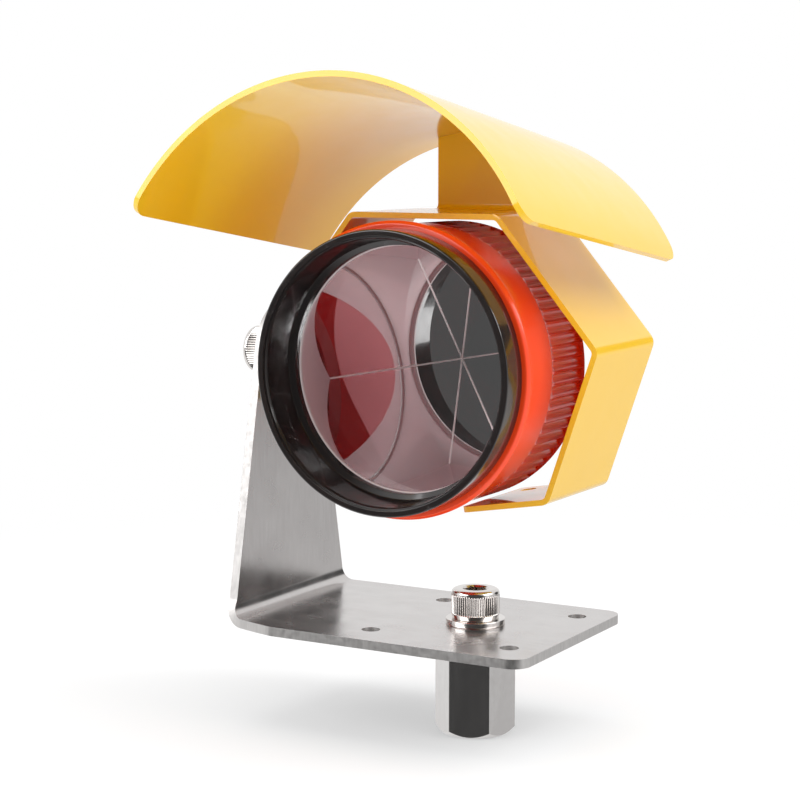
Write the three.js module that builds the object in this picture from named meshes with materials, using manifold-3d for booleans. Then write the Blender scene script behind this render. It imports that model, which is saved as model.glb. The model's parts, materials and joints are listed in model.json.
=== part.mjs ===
// A survey prism for monitoring: a corner-cube glass in a ribbed red canister, tilting on an L bracket
// under a bent yellow strap and rain hood, all swivelling on a hexagonal standoff.
// Millimetres, +Z up, the prism looks along -Y. The origin is the flat floor of the standoff's thread.
import * as THREE from "three";
import { mergeVertices } from "three/addons/utils/BufferGeometryUtils.js";
import Module from "manifold-3d";

const wasm = await Module();
wasm.setup();

// ---------------------------------------------------------------- driving dimensions
// Heights below are measured from the top face of the bracket's plate, on the swivel axis.
const PLATE_TOP_ABOVE_ORIGIN = 16.3;

// L bracket, bent from one sheet
const BRACKET_SHEET = 2.5;
const BRACKET_BEND_RADIUS = 3.5; // inside of the bend
const PLATE_HALF_WIDTH = 31.5;
const PLATE_END_X = 29.5;
const PLATE_CORNER_RADIUS = 5;
const PLATE_NEAR_TAPER_START_X = -45; // the near edge starts to narrow towards the arm here
const ARM_INNER_X = -60.8;
const ARM_TOP_RADIUS = 14.1;
const ARM_TAPER = THREE.MathUtils.degToRad(11.1);
const HOLE_PITCH = 41;
const SMALL_HOLE_RADIUS = 2.5;
const SCREW_CLEARANCE_RADIUS = 4.5;

// The tilt axis runs along X through this point
const PIVOT_Y = 3.5;
const PIVOT_Z = 70.2;
const OPTICAL_X = -8.5;

// M8 socket-head screws and washers
const M8_RADIUS = 4;
const M8_THREAD_CLEARANCE = 0.09;
const M8_HEAD_RADIUS = 6.5;
const M8_HEAD_HEIGHT = 8;
const M8_SOCKET_ACROSS_FLATS = 6;
const M8_SOCKET_DEPTH = 4;
const M8_WASHER_RADIUS = 8;
const M8_WASHER_HOLE_RADIUS = 4.2;
const M8_WASHER_THICKNESS = 1.6;
const SPACER_RADIUS = 8;
const FRICTION_WASHER_RADIUS = 8.5;
const FRICTION_WASHER_THICKNESS = 1;
const BASE_SCREW_LENGTH = 12;
const PIVOT_SCREW_LENGTH = 20;

// Hexagonal standoff
const HEX_ACROSS_FLATS = 19;
const HEX_LENGTH = 26.8;
const HEX_CORNER_ANGLE = THREE.MathUtils.degToRad(18); // corner direction from +X
const HEX_CHAMFER = 1.4;
const HEX_TOP_THREAD_DEPTH = 10;
const HEX_FOOT_THREAD_DEPTH = 13;
const HEX_FOOT_THREAD_RADIUS = 5;

// Yellow strap round the canister
const STRAP_SHEET = 1.5;
const STRAP_HALF_WIDTH = 18;
const STRAP_BEND_RADIUS = 3; // outside of each bend
const STRAP_FLANGE_X = -54.3;
const STRAP_FLANGE_LOW_Z = 56.5;
const STRAP_FLANGE_TOP_Z = 80;
const STRAP_TOP_Z = 110;
const STRAP_TOP_LEFT_X = -30.3;
const STRAP_TOP_RIGHT_X = 13.4;
const STRAP_SIDE = { x: 41.7, z: 76.4 };
const STRAP_LOW_CORNER = { x: 28.2, z: 36.7 };
const STRAP_FREE_END = { x: 3.4, z: 32.5 };
const STRAP_HOLE = { x: 8.5, y: 15, radius: 2.2 };
const TAB_HALF_WIDTH = 14.2;

// Rain hood: a rolled sheet, pitched down towards the back
const HOOD_SHEET = 1.5;
const HOOD_HALF_WIDTH = 55.3;
const HOOD_RISE = 34.4;
const HOOD_LENGTH = 91;
const HOOD_PITCH = THREE.MathUtils.degToRad(8.7);
const HOOD_FRONT_Y = -66.3;
const HOOD_EDGE_Z = 111; // height of the two side edges at the front
const HOOD_CORNER_RADIUS = 5;
const HOOD_RADIUS = (HOOD_HALF_WIDTH ** 2 + HOOD_RISE ** 2) / (2 * HOOD_RISE);
const WELD_GAP = 0.3;

// Canister, along its optical axis. Positions are measured from the tilt axis, + towards the back.
const RIM_Y = -40.6; // front face of the black ring
const RIM_RADIUS = 36.4;
const BEAD_Y = -32.6; // front face of the red canister
const BEAD_RADIUS = 38.3;
const RING_SPIGOT_END_Y = -27;
const BAND_RADIUS = 37.2;
const RIBS_START_Y = -17;
const RIBS_END_Y = 2.6;
const RIB_COUNT = 72;
const RIB_CREST_RADIUS = 37.1;
const RIB_VALLEY_RADIUS = 36.1;
const SHOULDER_RADIUS = 34.6; // behind the ribs, sloping down to the housing
const HOUSING_RADIUS = 33;
const HOUSING_START_Y = 5;
const HOUSING_BACK_Y = 25;
const CAP_THREAD_RADIUS = 20.8;
const BOSS_RADIUS = 9;
const BOSS_FACE_X = -51.8;
const INSERT_RADIUS = 5.5;
const INSERT_LENGTH = 8.5;
const SEAL_SEAT_RADIUS = 36.1; // counterbore in the canister's mouth for the ring's seal
const RING_THREAD_RADIUS = 35; // the canister's mouth; the ring's spigot is 0.2 smaller
const RING_WALL = { front: { radius: 34, y: -39.9 }, back: { radius: 33.4, y: -30 } }; // hooded inner wall
const GLASS_BORE_RADIUS = 33.5;
const GLASS_BORE_END_Y = 0.6;
const CAVITY_RADIUS = 30.6;
const CAVITY_START_Y = 3.2;
const CAVITY_END_Y = 11;
const CRADLE_Y = 4.2;
const SPRING = { radius: 18.2, wire: 0.7, low: 14.4, high: 20.2, turns: 2.5 };
const CAP_RADIUS = 24;
const CAP_RECESS = { radius: 8, depth: 3 }; // room for the tip of the glass

// Corner-cube glass
const GLASS_RADIUS = 33.2;
const GLASS_FRONT_Y = -26;
const GLASS_APEX_Y = 23.7;
const GLASS_EDGE_ANGLE = THREE.MathUtils.degToRad(20); // first edge, from +Z towards +X
const APERTURE_RADIUS = 32;

const FINE = 60; // facets round the large turned pieces
const COARSE = 32; // facets round screws, washers and small holes

// ---------------------------------------------------------------- geometry helpers

// A closed geometry as a manifold-3d solid.
function solid(geometry) {
  const bare = geometry.index ? geometry.toNonIndexed() : geometry.clone();
  bare.deleteAttribute("uv");
  bare.deleteAttribute("normal");
  const merged = mergeVertices(bare, 1e-4);
  const index = merged.index.array;
  const kept = [];
  for (let i = 0; i < index.length; i += 3) {
    const [a, b, c] = index.slice(i, i + 3);
    if (a !== b && b !== c && c !== a) kept.push(a, b, c);
  }
  const vertProperties = merged.attributes.position.array;
  return new wasm.Manifold(new wasm.Mesh({ numProp: 3, vertProperties, triVerts: new Uint32Array(kept) }));
}

// A manifold-3d solid as a three.js geometry.
function geometryOf(body) {
  const mesh = body.getMesh();
  const geometry = new THREE.BufferGeometry();
  geometry.setAttribute("position", new THREE.BufferAttribute(new Float32Array(mesh.vertProperties), 3));
  geometry.setIndex(new THREE.BufferAttribute(new Uint32Array(mesh.triVerts), 1));
  return geometry;
}

// A flat outline in X and Y, pushed along Z.
function alongZ(shape, z0, z1, curveSegments = 12) {
  const geometry = new THREE.ExtrudeGeometry(shape, { depth: z1 - z0, bevelEnabled: false, curveSegments });
  return geometry.translate(0, 0, z0);
}

// A flat outline in X and Z, pushed along Y.
function alongY(shape, y0, y1, curveSegments = 12) {
  return alongZ(shape, -y1, -y0, curveSegments).rotateX(Math.PI / 2);
}

// A flat outline in Y and Z, pushed along X.
function alongX(shape, x0, x1, curveSegments = 12) {
  const turn = new THREE.Matrix4().makeBasis(
    new THREE.Vector3(0, 1, 0),
    new THREE.Vector3(0, 0, 1),
    new THREE.Vector3(1, 0, 0),
  );
  return alongZ(shape, x0, x1, curveSegments).applyMatrix4(turn);
}

// A profile of [radius, position] pairs turned about Y.
function turned(profile, segments = FINE) {
  return new THREE.LatheGeometry(profile.map(([r, y]) => new THREE.Vector2(r, y)), segments);
}

function turnedAboutZ(profile, segments = COARSE) {
  return turned(profile, segments).rotateX(Math.PI / 2);
}

function turnedAboutX(profile, segments = COARSE) {
  return turned(profile, segments).rotateZ(-Math.PI / 2);
}

// The closed profile of a plain ring between two radii and two positions.
function ringProfile(inner, outer, low, high) {
  return [[inner, low], [outer, low], [outer, high], [inner, high], [inner, low]];
}

// The closed round profile of an O-ring.
function cordProfile(radius, position, cordRadius, points = 6) {
  const profile = [];
  for (let i = 0; i <= points; i += 1) {
    const a = (2 * Math.PI * i) / points;
    profile.push([radius + cordRadius * Math.cos(a), position + cordRadius * Math.sin(a)]);
  }
  return profile;
}

function polygonShape(points) {
  return new THREE.Shape(points.map(([x, y]) => new THREE.Vector2(x, y)));
}

function circleShape(x, y, radius) {
  const shape = new THREE.Shape();
  shape.absarc(x, y, radius, 0, 2 * Math.PI, false);
  return shape;
}

function regularPolygon(sides, acrossFlats, cornerAngle = 0) {
  const radius = acrossFlats / 2 / Math.cos(Math.PI / sides);
  const points = [];
  for (let i = 0; i < sides; i += 1) {
    const a = cornerAngle + (2 * Math.PI * i) / sides;
    points.push([radius * Math.cos(a), radius * Math.sin(a)]);
  }
  return polygonShape(points);
}

// A polyline with each inner corner rounded; every corner turns clockwise.
function rounded(points, radius, steps = 5) {
  const out = [points[0]];
  for (let i = 1; i < points.length - 1; i += 1) {
    const before = new THREE.Vector2().subVectors(points[i], points[i - 1]).normalize();
    const after = new THREE.Vector2().subVectors(points[i + 1], points[i]).normalize();
    const turn = Math.acos(before.dot(after));
    const start = points[i].clone().addScaledVector(before, -radius * Math.tan(turn / 2));
    const centre = start.clone().add(new THREE.Vector2(before.y, -before.x).multiplyScalar(radius));
    const first = Math.atan2(start.y - centre.y, start.x - centre.x);
    for (let k = 0; k <= steps; k += 1) {
      const a = first - (turn * k) / steps;
      out.push(new THREE.Vector2(centre.x + radius * Math.cos(a), centre.y + radius * Math.sin(a)));
    }
  }
  out.push(points[points.length - 1]);
  return out;
}

// The polyline moved to its right by a distance.
function offsetRight(points, distance) {
  return points.map((point, i) => {
    const before = new THREE.Vector2().subVectors(point, points[Math.max(i - 1, 0)]);
    const after = new THREE.Vector2().subVectors(points[Math.min(i + 1, points.length - 1)], point);
    if (i === 0) before.copy(after);
    if (i === points.length - 1) after.copy(before);
    before.normalize();
    after.normalize();
    const mitre = new THREE.Vector2(before.y + after.y, -before.x - after.x).normalize();
    return point.clone().addScaledVector(mitre, distance / Math.cos(before.angleTo(after) / 2));
  });
}

// The side view of a bent sheet, from the polyline of its outer face.
function bentSheet(outerPoints, sheet, outerRadius) {
  const points = outerPoints.map(([x, y]) => new THREE.Vector2(x, y));
  const outer = rounded(points, outerRadius);
  const inner = rounded(offsetRight(points, sheet), outerRadius - sheet);
  return new THREE.Shape([...outer, ...inner.reverse()]);
}

// ---------------------------------------------------------------- materials

function material(color, roughness, metalness, extra = {}) {
  return new THREE.MeshStandardMaterial({ color, roughness, metalness, ...extra });
}

const looks = {
  stainless: () => material(0xb9b3b1, 0.38, 1),
  nickel: () => material(0xd4d0cc, 0.18, 1),
  brass: () => material(0xc9a55a, 0.3, 1),
  yellowPaint: () => material(0xe8b818, 0.25, 0),
  redPlastic: () => material(0xe8401c, 0.3, 0),
  blackGloss: () => material(0x0c0c0d, 0.15, 0),
  blackNylon: () => material(0x1a1a1a, 0.55, 0),
  greyRubber: () => material(0x6f7072, 0.7, 0),
  glass: () => material(0xe9dfe4, 0.02, 0, { transparent: true, opacity: 0.35 }),
};

function named(name, geometry, look) {
  const mesh = new THREE.Mesh(geometry, look());
  mesh.name = name;
  return mesh;
}

// ---------------------------------------------------------------- screws and washers

// A socket-head screw standing on +Z: head above z = 0, shank below it.
function socketScrew(length) {
  const chamfer = 0.7;
  const body = solid(turnedAboutZ([
    [0, -length],
    [M8_RADIUS - chamfer, -length],
    [M8_RADIUS, chamfer - length],
    [M8_RADIUS, 0],
    [M8_HEAD_RADIUS - 0.3, 0],
    [M8_HEAD_RADIUS, 0.3],
    [M8_HEAD_RADIUS, M8_HEAD_HEIGHT - chamfer],
    [M8_HEAD_RADIUS - chamfer, M8_HEAD_HEIGHT],
    [0, M8_HEAD_HEIGHT],
  ]));
  const socket = alongZ(
    regularPolygon(6, M8_SOCKET_ACROSS_FLATS),
    M8_HEAD_HEIGHT - M8_SOCKET_DEPTH,
    M8_HEAD_HEIGHT + 1,
  );
  return geometryOf(body.subtract(solid(socket)));
}

function washer() {
  return turnedAboutZ(ringProfile(M8_WASHER_HOLE_RADIUS, M8_WASHER_RADIUS, 0, M8_WASHER_THICKNESS));
}

// ---------------------------------------------------------------- standoff and bracket

function hexStandoff() {
  const top = -BRACKET_SHEET;
  const foot = top - HEX_LENGTH;
  const hex = solid(alongZ(regularPolygon(6, HEX_ACROSS_FLATS, HEX_CORNER_ANGLE), foot, top));
  const cornerRadius = HEX_ACROSS_FLATS / Math.sqrt(3);
  const chamferTool = solid(turnedAboutZ([
    [0, foot - 1],
    [cornerRadius - HEX_CHAMFER - 1, foot - 1],
    [cornerRadius + 0.2, foot + HEX_CHAMFER + 0.2],
    [cornerRadius + 0.2, top + 1],
    [0, top + 1],
  ]));
  const upperThread = alongZ(
    circleShape(0, 0, M8_RADIUS + M8_THREAD_CLEARANCE), top - HEX_TOP_THREAD_DEPTH, top + 1, COARSE,
  );
  const lowerThread = alongZ(
    circleShape(0, 0, HEX_FOOT_THREAD_RADIUS), foot - 1, foot + HEX_FOOT_THREAD_DEPTH, COARSE,
  );
  return geometryOf(hex.intersect(chamferTool).subtract(solid(upperThread)).subtract(solid(lowerThread)));
}

// The plate's outline seen from above, taken past the arm.
function plateOutline() {
  const w = PLATE_HALF_WIDTH;
  const r = PLATE_CORNER_RADIUS;
  const left = ARM_INNER_X - BRACKET_SHEET - 1;
  const shape = new THREE.Shape();
  shape.moveTo(PLATE_NEAR_TAPER_START_X, -w);
  shape.lineTo(PLATE_END_X - r, -w);
  shape.absarc(PLATE_END_X - r, r - w, r, -Math.PI / 2, 0, false);
  shape.absarc(PLATE_END_X - r, w - r, r, 0, Math.PI / 2, false);
  shape.lineTo(left, w);
  shape.lineTo(left, PIVOT_Y - armHalfWidthAtPlate());
  shape.quadraticCurveTo(ARM_INNER_X, -w + 3, PLATE_NEAR_TAPER_START_X, -w);
  return shape;
}

function armHalfWidthAtPlate() {
  return (ARM_TOP_RADIUS + PIVOT_Z * Math.sin(ARM_TAPER)) / Math.cos(ARM_TAPER);
}

// The arm's outline seen along X: tapering up to a round top about the tilt axis.
function armOutline() {
  const foot = armHalfWidthAtPlate();
  const wide = PLATE_HALF_WIDTH + 1;
  const low = -BRACKET_SHEET - 1;
  const shape = new THREE.Shape();
  shape.moveTo(-wide, low);
  shape.lineTo(wide, low);
  shape.lineTo(wide, 0);
  shape.lineTo(PIVOT_Y + foot, 0);
  shape.absarc(PIVOT_Y, PIVOT_Z, ARM_TOP_RADIUS, ARM_TAPER, Math.PI - ARM_TAPER, false);
  shape.lineTo(PIVOT_Y - foot, 0);
  shape.lineTo(-wide, 0);
  return shape;
}

function lBracket() {
  const outerX = ARM_INNER_X - BRACKET_SHEET;
  const profile = bentSheet(
    [[PLATE_END_X, -BRACKET_SHEET], [outerX, -BRACKET_SHEET], [outerX, PIVOT_Z + ARM_TOP_RADIUS + 1]],
    BRACKET_SHEET,
    BRACKET_BEND_RADIUS + BRACKET_SHEET,
  );
  const wide = PLATE_HALF_WIDTH;
  let body = solid(alongY(profile, -wide, wide));
  body = body.intersect(solid(alongZ(plateOutline(), -BRACKET_SHEET - 1, PIVOT_Z + 30)));
  body = body.intersect(solid(alongX(armOutline(), outerX - 1, PLATE_END_X + 1)));
  for (const sx of [-1, 1]) {
    for (const sy of [-1, 1]) {
      const hole = circleShape((sx * HOLE_PITCH) / 2, (sy * HOLE_PITCH) / 2, SMALL_HOLE_RADIUS);
      body = body.subtract(solid(alongZ(hole, -BRACKET_SHEET - 1, 1)));
    }
  }
  const swivelHole = circleShape(0, 0, SCREW_CLEARANCE_RADIUS);
  body = body.subtract(solid(alongZ(swivelHole, -BRACKET_SHEET - 1, 1, COARSE)));
  const pivotHole = circleShape(PIVOT_Y, PIVOT_Z, SCREW_CLEARANCE_RADIUS);
  body = body.subtract(solid(alongX(pivotHole, outerX - 1, ARM_INNER_X + 1, COARSE)));
  return geometryOf(body);
}

// ---------------------------------------------------------------- hood and strap

// Where the hood sits: x across, y along its own slope, z up from the side edges.
function hoodFrame() {
  const frame = new THREE.Object3D();
  frame.position.set(OPTICAL_X, HOOD_FRONT_Y, HOOD_EDGE_Z);
  frame.rotation.x = -HOOD_PITCH;
  frame.updateMatrix();
  return frame;
}

// The rolled sheet in the hood's own frame, with its four corners rounded.
function hoodSheet() {
  const edge = Math.asin(HOOD_HALF_WIDTH / HOOD_RADIUS);
  const centreZ = HOOD_RISE - HOOD_RADIUS;
  const arc = new THREE.Shape();
  arc.absarc(0, centreZ, HOOD_RADIUS, Math.PI / 2 - edge, Math.PI / 2 + edge, false);
  arc.absarc(0, centreZ, HOOD_RADIUS - HOOD_SHEET, Math.PI / 2 + edge, Math.PI / 2 - edge, true);
  const sheet = solid(alongY(arc, 0, HOOD_LENGTH, 48));

  const low = -HOOD_SHEET;
  const r = HOOD_CORNER_RADIUS;
  const side = new THREE.Shape();
  side.moveTo(0, HOOD_RISE + 1);
  side.lineTo(0, low + r);
  side.absarc(r, low + r, r, Math.PI, 1.5 * Math.PI, false);
  side.absarc(HOOD_LENGTH - r, low + r, r, 1.5 * Math.PI, 2 * Math.PI, false);
  side.lineTo(HOOD_LENGTH, HOOD_RISE + 1);
  const corners = solid(alongX(side, -HOOD_HALF_WIDTH - 1, HOOD_HALF_WIDTH + 1, 6));
  return geometryOf(sheet.intersect(corners));
}

// The tab bent up from the strap's back edge, its top following the inside of the hood.
function hoodTab() {
  const backY = PIVOT_Y + STRAP_HALF_WIDTH;
  const underside = STRAP_TOP_Z - STRAP_SHEET;
  const profile = bentSheet(
    [[backY, HOOD_EDGE_Z + HOOD_RISE], [backY, underside], [backY - 12, underside]],
    STRAP_SHEET,
    STRAP_BEND_RADIUS,
  );
  const tab = solid(alongX(profile, OPTICAL_X - TAB_HALF_WIDTH, OPTICAL_X + TAB_HALF_WIDTH));
  const roof = turned(
    [[0, -20], [HOOD_RADIUS - HOOD_SHEET - WELD_GAP, -20],
      [HOOD_RADIUS - HOOD_SHEET - WELD_GAP, HOOD_LENGTH + 40], [0, HOOD_LENGTH + 40]],
    192,
  ).translate(0, 0, HOOD_RISE - HOOD_RADIUS).applyMatrix4(hoodFrame().matrix);
  return tab.intersect(solid(roof));
}

function hoodStrap() {
  const front = PIVOT_Y - STRAP_HALF_WIDTH;
  const back = PIVOT_Y + STRAP_HALF_WIDTH;
  const profile = bentSheet(
    [
      [STRAP_FLANGE_X, STRAP_FLANGE_LOW_Z],
      [STRAP_FLANGE_X, STRAP_FLANGE_TOP_Z],
      [STRAP_TOP_LEFT_X, STRAP_TOP_Z],
      [STRAP_TOP_RIGHT_X, STRAP_TOP_Z],
      [STRAP_SIDE.x, STRAP_SIDE.z],
      [STRAP_LOW_CORNER.x, STRAP_LOW_CORNER.z],
      [STRAP_FREE_END.x, STRAP_FREE_END.z],
    ],
    STRAP_SHEET,
    STRAP_BEND_RADIUS,
  );
  let body = solid(alongY(profile, front, back));
  const bendZone = polygonShape([
    [OPTICAL_X - TAB_HALF_WIDTH, back - STRAP_BEND_RADIUS],
    [OPTICAL_X + TAB_HALF_WIDTH, back - STRAP_BEND_RADIUS],
    [OPTICAL_X + TAB_HALF_WIDTH, back + 1],
    [OPTICAL_X - TAB_HALF_WIDTH, back + 1],
  ]);
  body = body.subtract(solid(alongZ(bendZone, STRAP_TOP_Z - 5, STRAP_TOP_Z + 1)));
  body = body.add(hoodTab());

  // The flange's lower end is rounded about the tilt axis.
  const flangeEnd = new THREE.Shape();
  const r = PIVOT_Z - STRAP_FLANGE_LOW_Z;
  flangeEnd.moveTo(front - 1, PIVOT_Z);
  flangeEnd.lineTo(front - 1, STRAP_FLANGE_LOW_Z - 1);
  flangeEnd.lineTo(back + 1, STRAP_FLANGE_LOW_Z - 1);
  flangeEnd.lineTo(back + 1, PIVOT_Z);
  flangeEnd.lineTo(back, PIVOT_Z);
  flangeEnd.lineTo(back, PIVOT_Z - 2);
  flangeEnd.quadraticCurveTo(back - 1, STRAP_FLANGE_LOW_Z, back - r, STRAP_FLANGE_LOW_Z);
  flangeEnd.lineTo(front + r, STRAP_FLANGE_LOW_Z);
  flangeEnd.quadraticCurveTo(front + 1, STRAP_FLANGE_LOW_Z, front, PIVOT_Z - 2);
  flangeEnd.lineTo(front, PIVOT_Z);
  body = body.subtract(solid(alongX(flangeEnd, STRAP_FLANGE_X - 1, STRAP_FLANGE_X + 3)));

  const pivotHole = circleShape(PIVOT_Y, PIVOT_Z, SCREW_CLEARANCE_RADIUS);
  body = body.subtract(solid(alongX(pivotHole, STRAP_FLANGE_X - 1, STRAP_FLANGE_X + 3, COARSE)));
  const drain = circleShape(STRAP_HOLE.x, STRAP_HOLE.y, STRAP_HOLE.radius);
  body = body.subtract(solid(alongZ(drain, STRAP_FREE_END.z - 2, STRAP_LOW_CORNER.z)));
  return geometryOf(body);
}

// ---------------------------------------------------------------- canister, about Y

// The outline of the grip ribs, seen along the optical axis.
function ribOutline() {
  const points = [];
  for (let i = 0; i < RIB_COUNT; i += 1) {
    const pitch = (2 * Math.PI) / RIB_COUNT;
    const corners = [
      [0.04, RIB_VALLEY_RADIUS],
      [0.36, RIB_VALLEY_RADIUS],
      [0.56, RIB_CREST_RADIUS],
      [0.84, RIB_CREST_RADIUS],
    ];
    for (const [part, radius] of corners) {
      const a = (i + part) * pitch;
      points.push([radius * Math.cos(a), radius * Math.sin(a)]);
    }
  }
  return polygonShape(points);
}

function canisterBody() {
  const capBore = CAP_THREAD_RADIUS + 0.2;
  const shell = solid(turned([
    [SEAL_SEAT_RADIUS, BEAD_Y + 1.4],
    [SEAL_SEAT_RADIUS, BEAD_Y],
    [BEAD_RADIUS - 0.7, BEAD_Y],
    [BEAD_RADIUS, BEAD_Y + 0.8],
    [BEAD_RADIUS, BEAD_Y + 1.8],
    [BAND_RADIUS, BEAD_Y + 3],
    [BAND_RADIUS, RIBS_START_Y],
    [RIB_VALLEY_RADIUS, RIBS_START_Y + 2.5],
    [RIB_VALLEY_RADIUS, RIBS_END_Y],
    [SHOULDER_RADIUS, RIBS_END_Y],
    [HOUSING_RADIUS, HOUSING_START_Y],
    [HOUSING_RADIUS, CAVITY_END_Y],
    [CAP_RADIUS + 0.2, HOUSING_BACK_Y],
    [capBore, HOUSING_BACK_Y],
    [capBore, HOUSING_BACK_Y - 3],
    [CAVITY_RADIUS, CAVITY_END_Y],
    [CAVITY_RADIUS, CAVITY_START_Y],
    [GLASS_BORE_RADIUS, GLASS_BORE_END_Y],
    [GLASS_BORE_RADIUS, RING_SPIGOT_END_Y + 1.6],
    [RING_THREAD_RADIUS, RING_SPIGOT_END_Y + 1],
    [RING_THREAD_RADIUS, BEAD_Y + 1.4],
    [SEAL_SEAT_RADIUS, BEAD_Y + 1.4],
  ]));
  const ribCore = circleShape(0, 0, RIB_VALLEY_RADIUS - 1);
  const ribRing = solid(alongY(ribOutline(), RIBS_START_Y + 0.6, RIBS_END_Y - 0.4))
    .subtract(solid(alongY(ribCore, RIBS_START_Y - 5, RIBS_END_Y + 5, 24)));
  const faceX = BOSS_FACE_X - OPTICAL_X;
  const bossRoot = 1 - HOUSING_RADIUS;
  const boss = solid(turnedAboutX([
    [0, faceX],
    [BOSS_RADIUS - 0.6, faceX],
    [BOSS_RADIUS, faceX + 0.6],
    [BOSS_RADIUS, bossRoot],
    [0, bossRoot],
  ]));
  const cavityPlug = solid(turned([
    [0, RING_SPIGOT_END_Y],
    [GLASS_BORE_RADIUS, RING_SPIGOT_END_Y],
    [GLASS_BORE_RADIUS, GLASS_BORE_END_Y],
    [CAVITY_RADIUS, CAVITY_START_Y],
    [CAVITY_RADIUS, CAVITY_END_Y],
    [0, CAVITY_END_Y],
  ]));
  const insertEnd = faceX + INSERT_LENGTH;
  const insertBore = solid(turnedAboutX([
    [0, faceX - 1],
    [INSERT_RADIUS, faceX - 1],
    [INSERT_RADIUS, insertEnd],
    [0, insertEnd],
  ]));
  return geometryOf(shell.add(ribRing).add(boss).subtract(cavityPlug).subtract(insertBore));
}

function frontRing() {
  const spigot = RING_THREAD_RADIUS - 0.2;
  return turned([
    [34.7, RIM_Y],
    [36.1, RIM_Y],
    [RIM_RADIUS, RIM_Y + 0.3],
    [RIM_RADIUS, BEAD_Y],
    [spigot, BEAD_Y],
    [spigot, RING_SPIGOT_END_Y],
    [APERTURE_RADIUS, RING_SPIGOT_END_Y],
    [APERTURE_RADIUS, RING_SPIGOT_END_Y - 2],
    [RING_WALL.back.radius, RING_WALL.back.y],
    [RING_WALL.front.radius, RING_WALL.front.y],
    [34.7, RIM_Y],
  ]);
}

// A flat gasket between the ring's spigot and the front of the glass.
function glassSeal() {
  const outer = RING_THREAD_RADIUS - 0.4;
  return turned(ringProfile(APERTURE_RADIUS + 0.1, outer, RING_SPIGOT_END_Y, GLASS_FRONT_Y));
}

function prismGlass() {
  const pyramidHeight = 60;
  const pyramid = new THREE.ConeGeometry(
    Math.SQRT2 * pyramidHeight, pyramidHeight, 3, 1, false, GLASS_EDGE_ANGLE,
  ).translate(0, GLASS_APEX_Y - pyramidHeight / 2, 0);
  const barrel = turned([
    [0, GLASS_FRONT_Y],
    [GLASS_RADIUS - 0.5, GLASS_FRONT_Y],
    [GLASS_RADIUS, GLASS_FRONT_Y + 0.5],
    [GLASS_RADIUS, GLASS_APEX_Y],
    [0, GLASS_APEX_Y],
  ]);
  return geometryOf(solid(barrel).intersect(solid(pyramid)));
}

// A conical cup that carries the three back edges of the glass.
function prismCradle() {
  const seat = (y) => Math.SQRT2 * (GLASS_APEX_Y - y) + 0.4;
  const rim = CAVITY_RADIUS - 0.6;
  return turned([
    [seat(CRADLE_Y), CRADLE_Y],
    [rim, CRADLE_Y],
    [rim, CRADLE_Y + 3],
    [rim - 3, CRADLE_Y + 3],
    [seat(CRADLE_Y + 7) + 2, CRADLE_Y + 9],
    [seat(CRADLE_Y + 7), CRADLE_Y + 7],
    [seat(CRADLE_Y), CRADLE_Y],
  ], 40);
}

// A helix about Y, for the spring's wire.
class Helix extends THREE.Curve {
  constructor(radius, low, high, turns) {
    super();
    Object.assign(this, { radius, low, high, turns });
  }

  getPoint(t, target = new THREE.Vector3()) {
    const a = 2 * Math.PI * this.turns * t;
    const rise = (this.high - this.low) * t;
    return target.set(this.radius * Math.cos(a), this.low + rise, this.radius * Math.sin(a));
  }
}

function prismSpring() {
  const wire = new THREE.Shape();
  wire.absarc(0, 0, SPRING.wire, 0, 2 * Math.PI, false);
  const path = new Helix(SPRING.radius, SPRING.low, SPRING.high, SPRING.turns);
  const sweep = { extrudePath: path, steps: 50, bevelEnabled: false, curveSegments: 3 };
  return new THREE.ExtrudeGeometry(wire, sweep);
}

function rearCap() {
  const face = HOUSING_BACK_Y + 1.2;
  const spigotEnd = HOUSING_BACK_Y - 3.4;
  const body = solid(turned([
    [0, spigotEnd + CAP_RECESS.depth],
    [CAP_RECESS.radius, spigotEnd + CAP_RECESS.depth],
    [CAP_RECESS.radius, spigotEnd],
    [CAP_THREAD_RADIUS, spigotEnd],
    [CAP_THREAD_RADIUS, face],
    [CAP_RADIUS, face],
    [CAP_RADIUS, face + 2.2],
    [CAP_RADIUS - 1, face + 3],
    [0, face + 3],
  ], 48));
  const slot = polygonShape([[-9, -0.9], [9, -0.9], [9, 0.9], [-9, 0.9]]);
  return geometryOf(body.subtract(solid(alongY(slot, face + 1.4, face + 5))));
}

// ---------------------------------------------------------------- assembly

function baseGroup() {
  const group = new THREE.Group();
  group.name = "base";
  const standoff = named("hex_standoff", hexStandoff(), looks.stainless);
  const baseWasher = named("base_washer", washer(), looks.nickel);
  const baseScrew = named("base_screw", socketScrew(BASE_SCREW_LENGTH), looks.nickel);
  baseScrew.position.z = M8_WASHER_THICKNESS;
  group.add(standoff, baseWasher, baseScrew);
  return group;
}

function bracketGroup() {
  const group = new THREE.Group();
  group.name = "bracket";
  group.add(named("l_bracket", lBracket(), looks.stainless));

  // Everything on the tilt screw stands on this group's +Z, which points along -X outwards.
  const stack = new THREE.Group();
  stack.position.set(ARM_INNER_X - BRACKET_SHEET, PIVOT_Y, PIVOT_Z);
  stack.rotation.y = -Math.PI / 2;
  const pivotWasher = named("pivot_washer", washer(), looks.nickel);
  const pivotScrew = named("pivot_screw", socketScrew(PIVOT_SCREW_LENGTH), looks.nickel);
  pivotScrew.position.z = M8_WASHER_THICKNESS;
  stack.add(pivotWasher, pivotScrew);

  const sleeve = ringProfile(M8_WASHER_HOLE_RADIUS, SPACER_RADIUS, ARM_INNER_X, STRAP_FLANGE_X);
  const spacer = named("pivot_spacer", turnedAboutX(sleeve), looks.stainless);
  spacer.position.set(0, PIVOT_Y, PIVOT_Z);
  group.add(stack, spacer);
  return group;
}

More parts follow.
